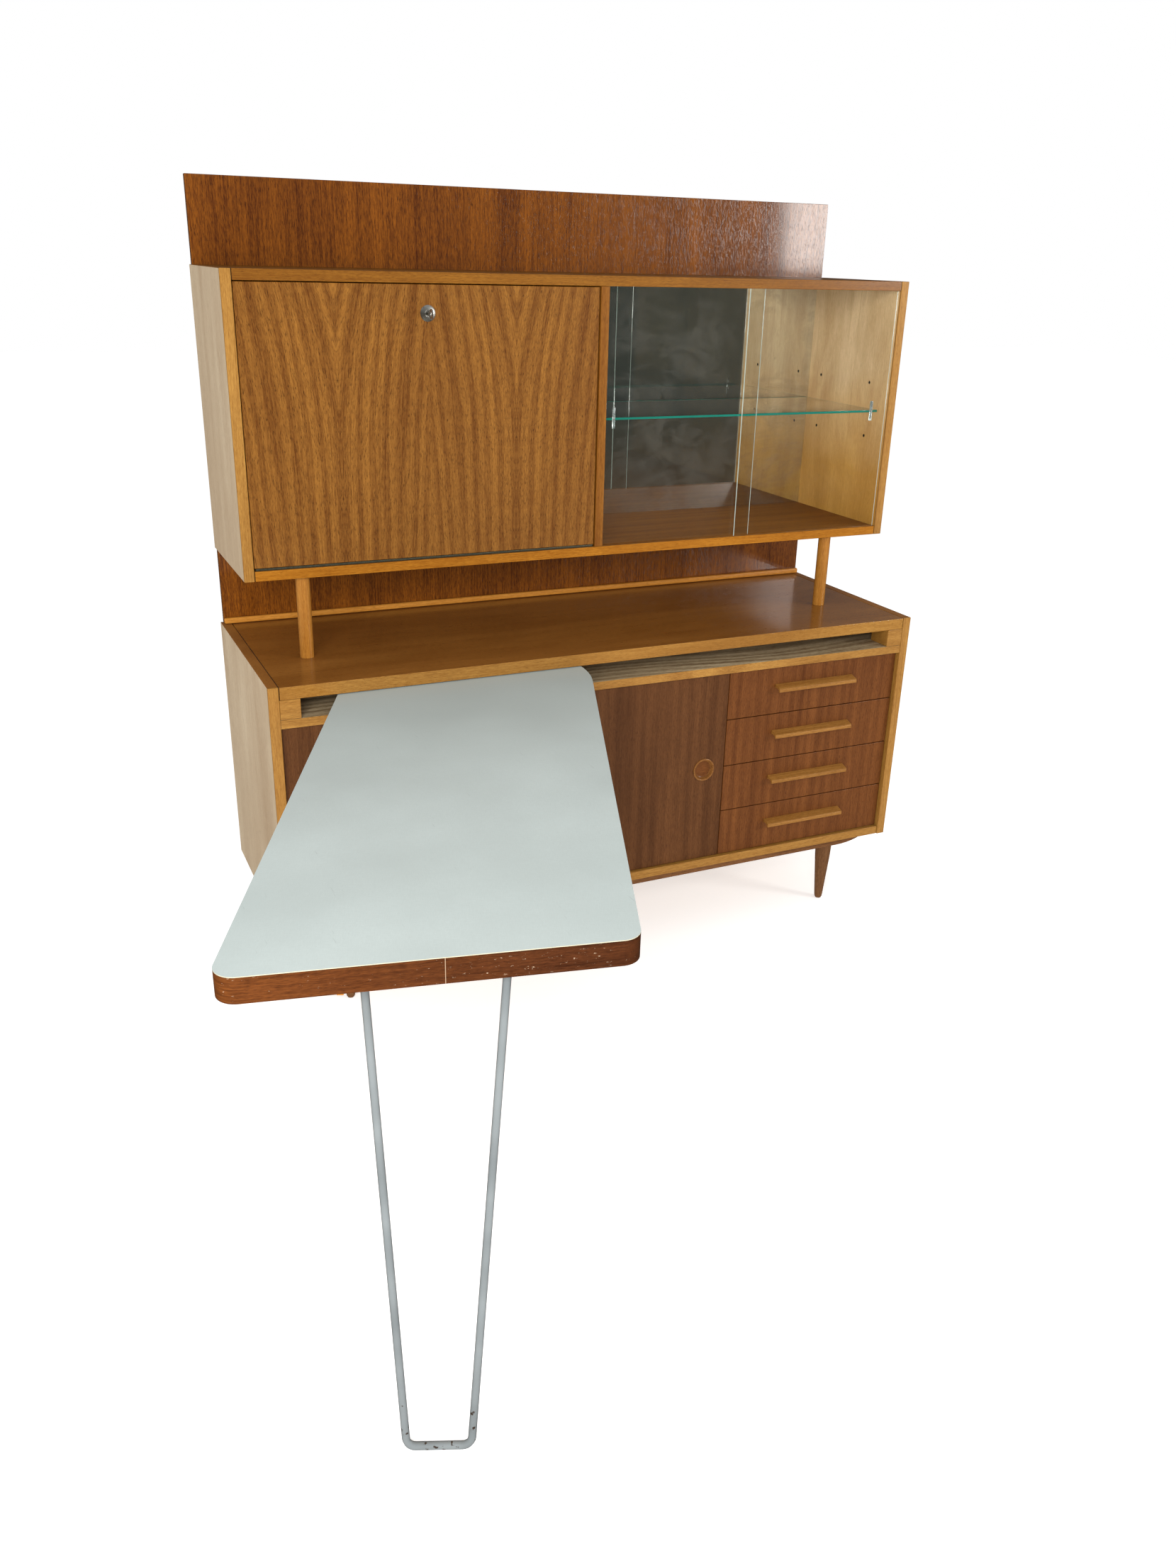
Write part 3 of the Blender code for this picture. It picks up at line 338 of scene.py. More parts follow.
def read_grain(finish, space, wide, figure=0.0, regular=0.0):
    """The parts of a grain as numbers 0..1: bands, fibres, clouds and pores.

    wide is a band's width. figure bends the grain sideways in slow waves, as growth rings cut at a slant do.
    regular is the share of ribbon stripe: even stripes whose spacing wanders a little.
    """
    if figure:
        bend = finish.drawn_noise(space, FIGURE_WAVES, 1.0)
        across, other, along = finish.split(space)
        space = finish.join(finish.plus(across, finish.times(finish.minus(bend, 0.5), figure)), other, along)
    bands = finish.even(finish.drawn_noise(space, (0.9 / wide, 0.45 / wide, 0.9), 2.0, 0.55))
    if regular:
        wander = finish.drawn_noise(space, (0.35 / wide, 0.35 / wide, 0.8), 1.0)
        across = finish.split(space)[0]
        turns = finish.plus(finish.times(across, 1 / wide), finish.times(wander, STRIPE_WANDER))
        wave = finish.spread(finish.math("SINE", finish.times(turns, 2 * math.pi)), -0.6, 0.6)
        bands = finish.plus(finish.times(wave, regular), finish.times(bands, 1 - regular))
    lines = finish.drawn_noise(space, FIBRE_LINES, 3.0, 0.6)
    flecks = finish.drawn_noise(space, FIBRE_FLECKS, 2.0, 0.6)
    fibres = finish.times(finish.plus(lines, flecks), 0.5)
    pores = finish.spread(finish.drawn_noise(space, PORE_DASHES, 1.0), 0.58, 0.70)
    clouds = finish.spread(finish.drawn_noise(space, CLOUDS, 3.0, 0.6), 0.35, 0.72)
    return bands, fibres, clouds, pores


def tint(finish, grain, tones, stripe=0.6, pores=0.45, patch=0.4, lines=0.8):
    """The colour that dark, middle and light tones give a grain. stripe, pores, patch and lines say how
    strongly its bands, pores, clouds and fibres show."""
    bands, fibres, clouds, pore = grain
    dark, middle, light = tones
    tone = finish.mix(stripe, middle, finish.mix(bands, dark, light))
    streaks = finish.spread(fibres, 0.38, 0.62)
    streaked = finish.mix(streaks, finish.mix(0.6, tone, dark), finish.mix(0.6, tone, light))
    tone = finish.mix(lines, tone, streaked)
    tone = finish.mix(finish.times(clouds, patch), tone, dark)
    return finish.mix(finish.times(pore, pores), tone, shade(dark, PORE_DARK))


def varnished(finish, tone, grain, rough=0.45, coat=0.3, coat_rough=0.18, bump=0.35, gloss=0.15):
    """Wood of the given tone under a varnish, with its pores pressed in."""
    fibres, pores = grain[1], grain[3]
    finish.colour(tone)
    finish.rough(finish.spread(fibres, 0.2, 0.8, rough - ROUGH_PLAY, rough + ROUGH_PLAY))
    finish.shader.inputs["Specular IOR Level"].default_value = gloss
    finish.shader.inputs["Coat Weight"].default_value = coat
    finish.shader.inputs["Coat Roughness"].default_value = coat_rough
    normal = finish.bump(finish.minus(finish.times(fibres, 0.35), pores), bump, PORE_DEEP)
    if coat:
        finish.feed(finish.shader.inputs["Coat Normal"], normal)
    return finish.material


GOLDEN = wood_tones((122, 78, 28), (151, 106, 43), (178, 132, 64))
RAIL = wood_tones((104, 57, 11), (130, 79, 19), (156, 103, 35))
LOW_RAIL = wood_tones((122, 68, 13), (152, 94, 21), (182, 122, 40))
TOP_RAIL = wood_tones((98, 54, 8), (123, 75, 14), (148, 98, 29))
ORANGE = wood_tones((138, 84, 26), (170, 111, 38), (198, 140, 62))
STRIP = wood_tones((156, 94, 28), (190, 124, 42), (220, 156, 70))
HANDLE = wood_tones((114, 70, 24), (144, 96, 38), (170, 122, 60))
CUP_RING = wood_tones((94, 54, 20), (122, 76, 32), (152, 104, 52))
REDDISH = wood_tones((65, 25, 2), (106, 49, 5), (153, 88, 17))
STRIPED = wood_tones((87, 46, 10), (118, 73, 20), (151, 101, 39))
# the doors' own red, made darker than the drawers' by painted shade for the table's shadow on them
SHADED_DOOR_RED = wood_tones((66, 37, 16), (88, 52, 24), (112, 70, 36))
DRAWER_RED = wood_tones((78, 40, 13), (102, 57, 21), (129, 77, 33))
TOP_BROWN = wood_tones((112, 66, 22), (140, 89, 35), (168, 114, 54))
CASE_BROWN = wood_tones((99, 58, 18), (130, 80, 29), (160, 107, 46))
PALE = wood_tones((168, 141, 111), (193, 171, 138), (213, 195, 166))
ASH = wood_tones((104, 78, 46), (192, 164, 120), (236, 216, 176))
BIRCH = wood_tones((168, 124, 62), (194, 153, 88), (212, 178, 118))
# the hutch's inner birch: a darker copy below for painted shade and a paler copy above for a painted sheen
SHADED_BIRCH = wood_tones((146, 98, 32), (196, 141, 56), (226, 176, 90))
SHEEN_BIRCH = wood_tones((178, 140, 86), (228, 194, 140), (248, 222, 176))
PLY = wood_tones((120, 84, 52), (146, 106, 68), (168, 128, 88))
DARK_BASE = wood_tones((82, 49, 24), (113, 73, 39), (140, 95, 56))
LEG_WOOD = wood_tones((82, 51, 28), (110, 73, 42), (138, 97, 60))
BAND_LEFT = wood_tones((60, 27, 5), (97, 46, 11), (134, 75, 25))
BAND_RIGHT = wood_tones((45, 19, 4), (73, 33, 9), (101, 54, 22))
# the painted shade in the gaps at the boards' joints
GAP_SHADE_TONE = linear(32, 18, 8)
LAMINATE_LOW = linear(186, 197, 195)
LAMINATE_HIGH = linear(194, 205, 203)
LAMINATE_SHADED = linear(170, 181, 178)


def wood(
    name,
    tones,
    fibre="Z",
    seed=0,
    wide=0.03,
    figure=0.0,
    regular=0.0,
    turn=0.0,
    look=None,
    faces=(),
    seams=(),
    **varnish,
):
    """The finish of a board.

    look says how tint shows the grain. faces gives other tones to the faces that look along an axis, as
    (axis, sign, tones). seams gives the places along X of painted shade lines, the shadow in the gaps at the
    joints.
    """
    look = look or {}
    finish = Finish(name)
    grain = read_grain(finish, grain_space(finish, fibre, seed, turn), wide, figure, regular)
    tone = tint(finish, grain, tones, **look)
    for axis, sign, other in faces:
        tone = finish.mix(finish.looks_along(axis, sign), tone, tint(finish, grain, other, **look))
    # painted shade lines at the joints, for the shadow in their gaps
    for place in seams:
        gap_shade = finish.between(finish.split(finish.place)[0], place - GAP_SHADE_HALF, place + GAP_SHADE_HALF)
        tone = finish.mix(finish.times(gap_shade, 0.9), tone, GAP_SHADE_TONE)
    return varnished(finish, tone, grain, **varnish)


def side_wood(name, seed):
    """The start of a side's finish, and its grain."""
    finish = Finish(name)
    return finish, read_grain(finish, grain_space(finish, "Z", seed), wide=0.05, figure=0.08)


def side_finish(finish, grain, front, outward, inner, ends):
    """A side veneered pale outside, with a golden lipping along its front edge, other tones on its upper
    end, and the given colour inside."""
    outer = tint(finish, grain, PALE, **CALM)
    face = finish.mix(finish.looks_along("X", outward, -0.3, 0.3), inner, outer)
    face = finish.mix(finish.looks_along("Z"), face, tint(finish, grain, ends, **TRIM))
    deep = finish.split(finish.place)[1]
    edge, soft = front + LIPPING, 0.0002
    lipping = finish.spread(deep, edge - soft, edge + soft, 1.0, 0.0)
    tone = finish.mix(lipping, face, tint(finish, grain, GOLDEN, **TRIM))
    return varnished(finish, tone, grain, rough=0.5, coat=0.15, coat_rough=0.3, bump=0.3)


def lipped_side(name, seed, outward):
    """A side of the cabinet, golden inside."""
    finish, grain = side_wood(name, seed)
    inner = tint(finish, grain, GOLDEN, **INSIDE)
    return side_finish(finish, grain, FRONT, outward, inner, TOP_BROWN)


def hutch_side(name, seed, outward):
    """A side of the hutch, flamed birch inside, paler above the shelf as a painted sheen and darker, yellower
    below it as painted shade.
    """
    front = FRONT + HUTCH_SET_BACK
    finish, grain = side_wood(name, seed)
    _, deep, high = finish.split(finish.place)
    flames = finish.stretch(finish.place, (6.0, 6.0, 2.4), shift=(0.0, seed * 0.7, 0.3))
    flame = finish.spread(finish.noise(flames, 1.0, 3.0, 0.6, 2.2), 0.36, 0.64)
    cloud = finish.noise(finish.place, 3.0, 2.0)
    level = finish.plus(high, finish.times(finish.minus(cloud, 0.5), 0.28))
    # painted shade and painted sheen: the birch darkens downwards and pales upwards
    aged, sheen_birch = (tint(finish, grain, tones, **FLAMED) for tones in (SHADED_BIRCH, SHEEN_BIRCH))
    inner = finish.mix(finish.spread(level, *BIRCH_SHADE_TO_SHEEN), aged, sheen_birch)
    inner = finish.mix(finish.times(flame, 0.34), inner, SHADED_BIRCH[0])
    seam = finish.between(deep, *(front + place for place in LEAF_SEAM))
    inner = finish.mix(finish.times(seam, 0.5), inner, SHADED_BIRCH[0])
    return side_finish(finish, grain, front, outward, inner, RAIL)


def cup_pull(name, seed):
    """A turned cup: a golden ring with a darker hollow."""
    finish = Finish(name)
    grain = read_grain(finish, grain_space(finish, "X", seed), wide=0.006)
    low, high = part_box(name)
    x, _, z = finish.split(finish.place)
    offset = finish.join(finish.minus(x, (low.x + high.x) / 2), 0.0, finish.minus(z, (low.z + high.z) / 2))
    length = finish.node("ShaderNodeVectorMath", operation="LENGTH")
    finish.feed(length.inputs[0], offset)
    hollow = finish.spread(length.outputs["Value"], *CUP_HOLLOW, 1.0, 0.0)
    ring = tint(finish, grain, CUP_RING)
    return varnished(finish, finish.mix(hollow, ring, tint(finish, grain, DRAWER_RED)), grain)


def book_matched(name):
    """Four leaves of striped veneer, mirrored at their seams. The stripes lean away from the seams."""
    finish = Finish(name)
    x, y, z = finish.split(finish.place)
    seams = [X_MID + seam for seam in FLAP_SEAMS]
    across = finish.math("MINIMUM", *(finish.math("ABSOLUTE", finish.minus(x, seam)) for seam in seams))
    rise = finish.minus(z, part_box("flap")[0].z)
    bend = finish.math("MAXIMUM", finish.minus(rise, 0.2), 0.0)  # at the seams only the tops lean
    lean = finish.times(finish.times(bend, bend), finish.spread(across, 0.0, 0.2, 0.38, 0.10))
    lean = finish.plus(lean, finish.times(finish.times(rise, across), 0.28))
    right = finish.math("GREATER_THAN", x, sum(seams) / 2)
    leaf_shift = finish.times(right, 0.004)  # so that the right pair of leaves differs from the left
    space = finish.join(finish.minus(across, lean), finish.plus(y, leaf_shift), z)
    grain = read_grain(finish, space, wide=0.029, regular=0.6)
    tone = tint(finish, grain, STRIPED, **FLAP)
    return varnished(finish, tone, grain, rough=0.42, coat=0.25, coat_rough=0.18, bump=0.4)


def band_veneer(name):
    """The table's edge band, in two lengths: the fibres run along every side, with pale rubbed specks."""
    finish = Finish(name)
    turned = finish.stretch(finish.place, turn=TABLE_TURN)
    x, y, z = finish.split(turned)
    space = finish.join(z, finish.times(finish.minus(x, y), 0.02), finish.plus(x, y))
    grain = read_grain(finish, space, wide=0.012)
    turn = Matrix.Rotation(TABLE_TURN, 3, "Z")
    points = [turn @ vertex.co for vertex in frame["nodes"][name].data.vertices]
    near = min(point.y for point in points) + BAND_NEAR
    ends = [point.x for point in points if point.y < near]
    middle = min(ends) * (1 - BAND_JOINT) + max(ends) * BAND_JOINT
    left, right = (tint(finish, grain, tones, **BAND) for tones in (BAND_LEFT, BAND_RIGHT))
    tone = finish.mix(finish.spread(x, *(middle + place for place in BAND_BLEND)), left, right)
    patches = finish.drawn_noise(turned, (9.0, 9.0, 14.0))
    specks = finish.drawn_noise(turned, (110.0, 110.0, 260.0), 4.0, 0.75)
    rubbed = finish.plus(
        finish.spread(patches, 0.45, 0.7, 0.0, 0.05), finish.spread(x, middle, middle + 0.2, 0.0, 0.025)
    )
    worn = finish.spread(finish.plus(specks, rubbed), 0.68, 0.73, 0.0, 0.6)
    joint = finish.between(x, middle - BAND_JOINT_HALF, middle + BAND_JOINT_HALF)
    pale = finish.math("MAXIMUM", worn, finish.times(joint, 0.6))
    tone = finish.mix(pale, tone, linear(206, 180, 150))
    return varnished(finish, tone, grain, rough=0.42, coat=0.25, coat_rough=0.2, bump=0.35)


# ---- laminate, metal, paint and glass -----------------------------------------------------------------
def laminate(name):
    """Pale blue-grey laminate with a faint woven print, darkened towards the cabinet by painted shade, and a
    cream core that shows at its edge."""
    finish = Finish(name)
    turned = finish.stretch(finish.place, turn=TABLE_TURN)
    cloud = finish.noise(finish.place, 5.0, 3.0)
    warp = finish.drawn_noise(turned, (1400.0, 90.0, 1.0))
    weft = finish.drawn_noise(turned, (90.0, 1400.0, 1.0))
    weave = finish.times(finish.plus(warp, weft), 0.5)
    blue = finish.mix(finish.even(cloud), LAMINATE_LOW, LAMINATE_HIGH)
    blue = finish.mix(finish.spread(weave, 0.36, 0.64, 0.0, 0.30), blue, shade(LAMINATE_LOW, 0.82))
    scratches = finish.drawn_noise(finish.place, (260.0, 22.0, 1.0), 2.0, 0.6, turn=0.9)
    blue = finish.mix(finish.spread(scratches, 0.72, 0.78, 0.0, 0.25), blue, linear(120, 124, 122))
    # painted shade: the laminate darkens towards the cabinet, where the cabinet shades it
    deep = finish.split(finish.place)[1]
    cabinet_shade = finish.spread(deep, *(FRONT + place for place in LAMINATE_SHADE_SPAN), 0.0, 0.85)
    blue = finish.mix(cabinet_shade, blue, LAMINATE_SHADED)
    finish.colour(finish.mix(finish.looks_along("Z", 1, 0.6, 0.9), linear(192, 186, 160), blue))
    finish.rough(finish.even(cloud, 0.40, 0.52))
    finish.bump(weave, 0.10, 0.0002)
    return finish.material


def metal(name, tone, rough):
    finish = Finish(name, Metallic=1.0)
    marks = finish.noise(finish.place, 220.0, 4.0, 0.65)
    finish.colour(finish.mix(finish.spread(marks, 0.45, 0.75), tone, shade(tone, 0.6)))
    finish.rough(finish.even(marks, rough - 0.06, rough + 0.14))
    finish.bump(marks, 0.12, 0.0002)
    return finish.material


def rod_paint(name):
    """Grey enamel with a few chips near the floor."""
    finish = Finish(name, Coat_Weight=0.25, Coat_Roughness=0.2)
    marks = finish.noise(finish.place, 90.0, 4.0, 0.6)
    cloud = finish.noise(finish.place, 12.0, 2.0)
    grey = finish.mix(finish.even(cloud), linear(110, 116, 118), linear(130, 136, 138))
    near_floor = finish.spread(finish.split(finish.place)[2], *CHIPPED, 1.0, 0.25)
    chips = finish.spread(finish.times(marks, near_floor), 0.60, 0.64)
    finish.colour(finish.mix(chips, grey, linear(58, 46, 38)))
    finish.rough(finish.even(marks, 0.38, 0.5))
    finish.bump(chips, 0.3, 0.0004)
    return finish.material


def clear_glass(name, edge, flat_axis, painted_glow=0.0):
    """Clear sheet glass, tinted and less clear at its edges, which get a painted glow in the edge colour for
    the light that comes out of the sheet there.
    """
    finish = Finish(name, IOR=1.46, Emission_Strength=painted_glow)
    normal = finish.split(finish.facing)
    flat = finish.spread(finish.math("ABSOLUTE", normal["XYZ".index(flat_axis)]), 0.6, 0.8)
    smear = finish.noise(finish.place, 7.0, 3.0)
    clear = finish.mix(finish.spread(smear, 0.5, 0.8), (0.975, 0.99, 0.985), (0.955, 0.972, 0.966))
    finish.colour(finish.mix(flat, edge, clear))
    # the painted glow on the edges, in the edge colour
    finish.feed(finish.shader.inputs["Emission Color"], finish.mix(flat, edge, (0.0, 0.0, 0.0)))
    finish.feed(finish.shader.inputs["Transmission Weight"], finish.spread(flat, 0.0, 1.0, 0.35, 1.0))
    finish.rough(0.0)
    return finish.material


def old_mirror(name):
    """A mirror with cloudy and wiped patches and small spots where its silvering has aged."""
    finish = Finish(name, Metallic=1.0)
    cloud = finish.noise(finish.place, 5.0, 4.0, 0.6, 1.5)
    wipes = finish.drawn_noise(finish.place, (4.0, 4.0, 11.0), 4.0, 0.65, 3.0)
    spots = finish.noise(finish.place, 90.0, 4.0, 0.7)
    hazy = finish.spread(finish.plus(finish.times(cloud, 0.6), finish.times(wipes, 0.4)), 0.47, 0.60)
    tone = finish.mix(hazy, linear(232, 234, 230), linear(214, 214, 206))
    finish.colour(finish.mix(finish.spread(spots, 0.66, 0.76, 0.0, 0.5), tone, linear(120, 112, 98)))
    finish.feed(finish.shader.inputs["Metallic"], finish.spread(hazy, 0.0, 1.0, 0.995, 0.935))
    finish.rough(finish.spread(hazy, 0.0, 1.0, 0.01, 0.03))
    return finish.material


def moulded(name, tone):
    finish = Finish(name)
    grain = finish.noise(finish.place, 500.0, 2.0)
    finish.colour(finish.mix(finish.even(grain), tone, shade(tone, 0.85)))
    finish.rough(finish.even(grain, 0.42, 0.58))
    finish.bump(grain, 0.1, 0.0002)
    return finish.material


def clear_moulding(name):
    finish = Finish(name, Transmission_Weight=0.93, IOR=1.49)
    cloud = finish.noise(finish.place, 120.0, 2.0)
    finish.colour(finish.mix(finish.even(cloud), linear(172, 182, 178), linear(204, 212, 209)))
    finish.rough(finish.even(cloud, 0.16, 0.30))
    return finish.material


def link(piece):
    bpy.context.scene.collection.objects.link(piece)
    return piece


def made_piece(name, shape, material, smooth_angle=SMOOTH_ANGLE):
    """An object of the shape, in one material, whose edges below an angle are smooth."""
    mesh = bpy.data.meshes.new(name)
    shape.to_mesh(mesh)
    shape.free()
    mesh.materials.append(material)
    mesh.shade_smooth()
    mesh.set_sharp_from_angle(angle=smooth_angle)
    return link(bpy.data.objects.new(name, mesh))


def body_of(node):
    for body, members in frame["record"]["behaviour"]["bodies"].items():
        if node in members:
            return body
    raise ValueError(node)


def fine(node, material, ease=0.0):
    """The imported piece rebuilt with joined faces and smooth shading, in its own finish. ease rounds its
    edges."""
    shape = bmesh.new()
    shape.from_mesh(frame["nodes"][node].data)
    bmesh.ops.remove_doubles(shape, verts=shape.verts, dist=WELD)
    bmesh.ops.dissolve_limit(
        shape, angle_limit=FLAT_ANGLE, verts=shape.verts, edges=shape.edges, delimit={"NORMAL"}
    )
    if ease:
        sharp = [edge for edge in shape.edges if edge.is_manifold and edge.calc_face_angle(0.0) > SHARP_ANGLE]
        bmesh.ops.bevel(shape, geom=sharp, offset=ease, clamp_overlap=True, **BEVEL)
    piece = made_piece(f"{node}_piece", shape, material)
    weighted = piece.modifiers.new("face_weighted_normals", "WEIGHTED_NORMAL")
    weighted.keep_sharp = True
    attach(piece, body_of(node))
    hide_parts(node)
    return piece


def board(name, tones, fibre, ease=0.0, **look):
    """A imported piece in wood."""
    return fine(name, wood(name, tones, fibre, **look), ease)


def finger_pull(side, outer):
    """A clear moulded strip stuck to a pane near its outer edge, with a raised rib to push against."""
    low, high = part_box(f"glass_pane_{side}")
    middle = (high.x if outer > 0 else low.x) - outer * PULL_INSET[side]
    shape = bmesh.new()
    ends = [
        [shape.verts.new((middle + outer * x, low.y - y, height)) for x, y in PULL_OUTLINE]
        for height in (PULL_Z - PULL_HIGH / 2, PULL_Z + PULL_HIGH / 2)
    ]
    for end in ends:
        shape.faces.new(end)
    for number in range(len(PULL_OUTLINE)):
        following = (number + 1) % len(PULL_OUTLINE)
        shape.faces.new((ends[0][number], ends[0][following], ends[1][following], ends[1][number]))
    bmesh.ops.recalc_face_normals(shape, faces=shape.faces)
    bmesh.ops.bevel(shape, geom=shape.edges[:], offset=PULL_EASE, **BEVEL)
    name = f"finger_pull_{side}"
    piece = made_piece(name, shape, clear_moulding(name))
    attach(piece, f"{side}_pane")
    return piece


def paint_hole_shade(piece):
    """Painted shade inside the shelf pins' spare holes: near-black wood on the faces within them."""
    finish = Finish(f"{piece.name}_holes")
    fleck = finish.noise(finish.place, 900.0, 2.0)
    # painted shade: a near-black colour for the inside of the holes
    finish.colour(finish.mix(finish.even(fleck), linear(12, 8, 5), linear(26, 18, 12)))
    finish.rough(0.9)
    piece.data.materials.append(finish.material)
    centres = [Vector((FRONT + deep, height)) for deep in PIN_DEEP for height in SPARE_PIN_Z]
    for face in piece.data.polygons:
        place = Vector((face.center.y, face.center.z))
        if any((place - centre).length < PIN_HOLE_REACH for centre in centres):
            face.material_index = 1


def screw_heads(name, body, places):
    """Domed screw heads that look back, one mesh for all of them."""
    turns = [2 * math.pi * number / SCREW_STEPS for number in range(SCREW_STEPS)]
    shape = bmesh.new()
    for x, y, z in places:
        loops = []
        for height, reach in SCREW_RINGS:
            radius = SCREW_R * reach
            squeeze = SCREW_SQUEEZE if height > SCREW_CROWN else 1.0
            out = y + SCREW_R * height * SCREW_FLAT
            loops.append([
                shape.verts.new((x + radius * math.cos(turn), out, z + radius * math.sin(turn) * squeeze))
                for turn in turns
            ])
        for lower, upper in zip(loops, loops[1:]):
            for number in range(SCREW_STEPS):
                after = (number + 1) % SCREW_STEPS
                shape.faces.new((lower[number], lower[after], upper[after], upper[number]))
        shape.faces.new(loops[-1])
        shape.faces.new(loops[0])
    bmesh.ops.recalc_face_normals(shape, faces=shape.faces)
    piece = made_piece(name, shape, metal(name, linear(168, 150, 104), rough=0.36), SCREW_SMOOTH_ANGLE)
    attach(piece, body)
    return piece


def add_back_screws():
    low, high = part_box("lower_back")
    step = (high.x - low.x - 2 * SCREW_INSET) / SCREW_GAPS
    across = [low.x + SCREW_INSET + number * step for number in range(SCREW_GAPS + 1)]
    places = [(x, high.y, z) for x in across for z in (low.z + SCREW_INSET, high.z - SCREW_INSET)]
    places += [(x, high.y, (low.z + high.z) / 2) for x in (across[0], across[-1])]
    screw_heads("back_screws", "cabinet", places)


def finish_cabinet():
    golden_front = (("Y", -1, GOLDEN),)
    for seed, (side, outward) in enumerate(SIDES, start=3):
        name = f"lower_side_{side}"
        fine(name, lipped_side(name, seed, outward), EASE)
    # the top board's ends get painted shade lines at its joints with the sides
    board(
        "top_board", TOP_BROWN, "X", EASE, seed=5, wide=0.05, figure=0.25, look={"patch": 0.6},
        faces=golden_front, seams=[corner.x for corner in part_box("top_board")],
        rough=0.30, coat=0.55, coat_rough=0.12,
    )
    board(
        "slot_floor", ASH, "X", EASE, seed=6, wide=0.026, figure=0.34, regular=0.6, look={"stripe": 0.9},
        faces=golden_front, rough=0.55, coat=0.1,
    )
    board("bottom_board", GOLDEN, "X", EASE, seed=7, wide=0.02)
    for number, (side, _) in enumerate(SIDES):
        board(f"slot_end_{side}", GOLDEN, "X", EASE, seed=8 + number, wide=0.012)
        board(f"divider_{side}", BIRCH, "Z", seed=10 + number)
    board("lower_back", PLY, "X", seed=12, wide=0.06, figure=0.3, coat=0.0, rough=0.7)
    for row, end in enumerate(("front", "back")):
        board(f"base_batten_{end}", DARK_BASE, "X", BATTEN_EASE, seed=13 + row, wide=0.02)
        for number, (side, _) in enumerate(SIDES):
            board(f"leg_{end}_{side}", LEG_WOOD, "Z", seed=15 + 2 * row + number, wide=0.012)
    fine("table_guide_rail", metal("table_guide_rail", linear(150, 150, 148), rough=0.38))
    add_back_screws()


def finish_fronts():
    for number, side in enumerate(("left", "middle")):
        name = f"{side}_door"
        # the doors take the darker red: their tone with painted shade for the table's shadow
        board(
            name, SHADED_DOOR_RED, "Z", FRONT_EASE, seed=20 + number, wide=0.032, figure=0.03, regular=0.25,
            look=RIBBON,
        )
        fine(f"{name}_pull", cup_pull(f"{name}_pull", 22 + number))
    for number in range(1, 5):
        name = f"drawer_{number}"
        board(  # one seed, so that the figure runs on from drawer to drawer
            f"{name}_front", DRAWER_RED, "Z", FRONT_EASE, seed=24, wide=0.030, figure=0.03, regular=0.3,
            look=RIBBON,
        )
        board(f"{name}_box", BIRCH, "X", seed=30 + number, wide=0.03, coat=0.1, rough=0.55)
        board(f"{name}_handle", HANDLE, "X", HAND_EASE, seed=35 + number, wide=0.010)


def finish_table():
    fine("table_laminate", laminate("table_laminate"))
    fine("table_band", band_veneer("table_band"), THIN_EASE)
    board("table_core", BIRCH, "Y", seed=41, wide=0.04, figure=0.1, turn=TABLE_TURN, coat=0.0, rough=0.65)
    fine("table_guide_block", moulded("table_guide_block", linear(196, 192, 178)), EASE)
    fine("leg_bracket", metal("leg_bracket", linear(128, 128, 126), rough=0.45), THIN_EASE)
    board("leg_rest_block", STRIP, "X", HAND_EASE, seed=42, wide=0.006, coat=0.05, rough=0.55)
    fine("hairpin_leg", rod_paint("hairpin_leg"))


def finish_hutch():
    # painted shade lines at the hutch boards' joints with the hutch's sides
    seams = [corner.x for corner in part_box("hutch_top")]
    fine("hutch_side_left", hutch_side("hutch_side_left", 50, -1), EASE)
    paint_hole_shade(fine("hutch_side_right", hutch_side("hutch_side_right", 51, 1)))
    board("hutch_top", TOP_RAIL, "X", EASE, seed=52, wide=0.012, seams=seams)
    board(
        "hutch_bottom", LOW_RAIL, "X", seed=53, wide=0.02, figure=0.1, seams=seams,
        faces=(("Z", 1, CASE_BROWN),), coat=0.0, gloss=0.05,
    )
    paint_hole_shade(board("hutch_divider", RAIL, "Z", seed=54, wide=0.012))
    fine("mirror", old_mirror("mirror"))
    board(
        "back_panel", REDDISH, "Z", seed=55, wide=0.045, figure=0.02, regular=0.15, look=PANEL,
        faces=(("Y", 1, PLY),), rough=0.6, coat=0.8, coat_rough=0.08, bump=0.42,
    )
    board("panel_strip", STRIP, "X", seed=56, wide=0.008)
    for number, (side, _) in enumerate(SIDES):
        board(f"post_{side}", ORANGE, "Z", seed=57 + number, wide=0.01)
    clear = [fine("glass_shelf", clear_glass("glass_shelf", linear(34, 132, 114), "Z"))]
    for side, outer in SIDES:
        name = f"glass_pane_{side}"
        # the panes' pale edges get a painted glow, though they are no lamp
        clear.append(fine(name, clear_glass(name, linear(206, 226, 216), "Y", painted_glow=0.24)))
        clear.append(finger_pull(side, outer))
    for piece in clear:  # light passes clear glass
        piece.visible_shadow = False
        piece.visible_diffuse = False
    fine("flap", book_matched("flap"), EASE)
    for name, tone, rough in (
        ("flap_hinge", (150, 148, 128), 0.40),
        ("lock_cylinder", (226, 224, 216), 0.40),
        ("lock_cam", (150, 150, 148), 0.35),
        ("key", (232, 230, 222), 0.34),
        ("flap_stay_left", (160, 160, 156), 0.32),
        ("flap_stay_right", (160, 160, 156), 0.32),
    ):
        fine(name, metal(name, linear(*tone), rough))


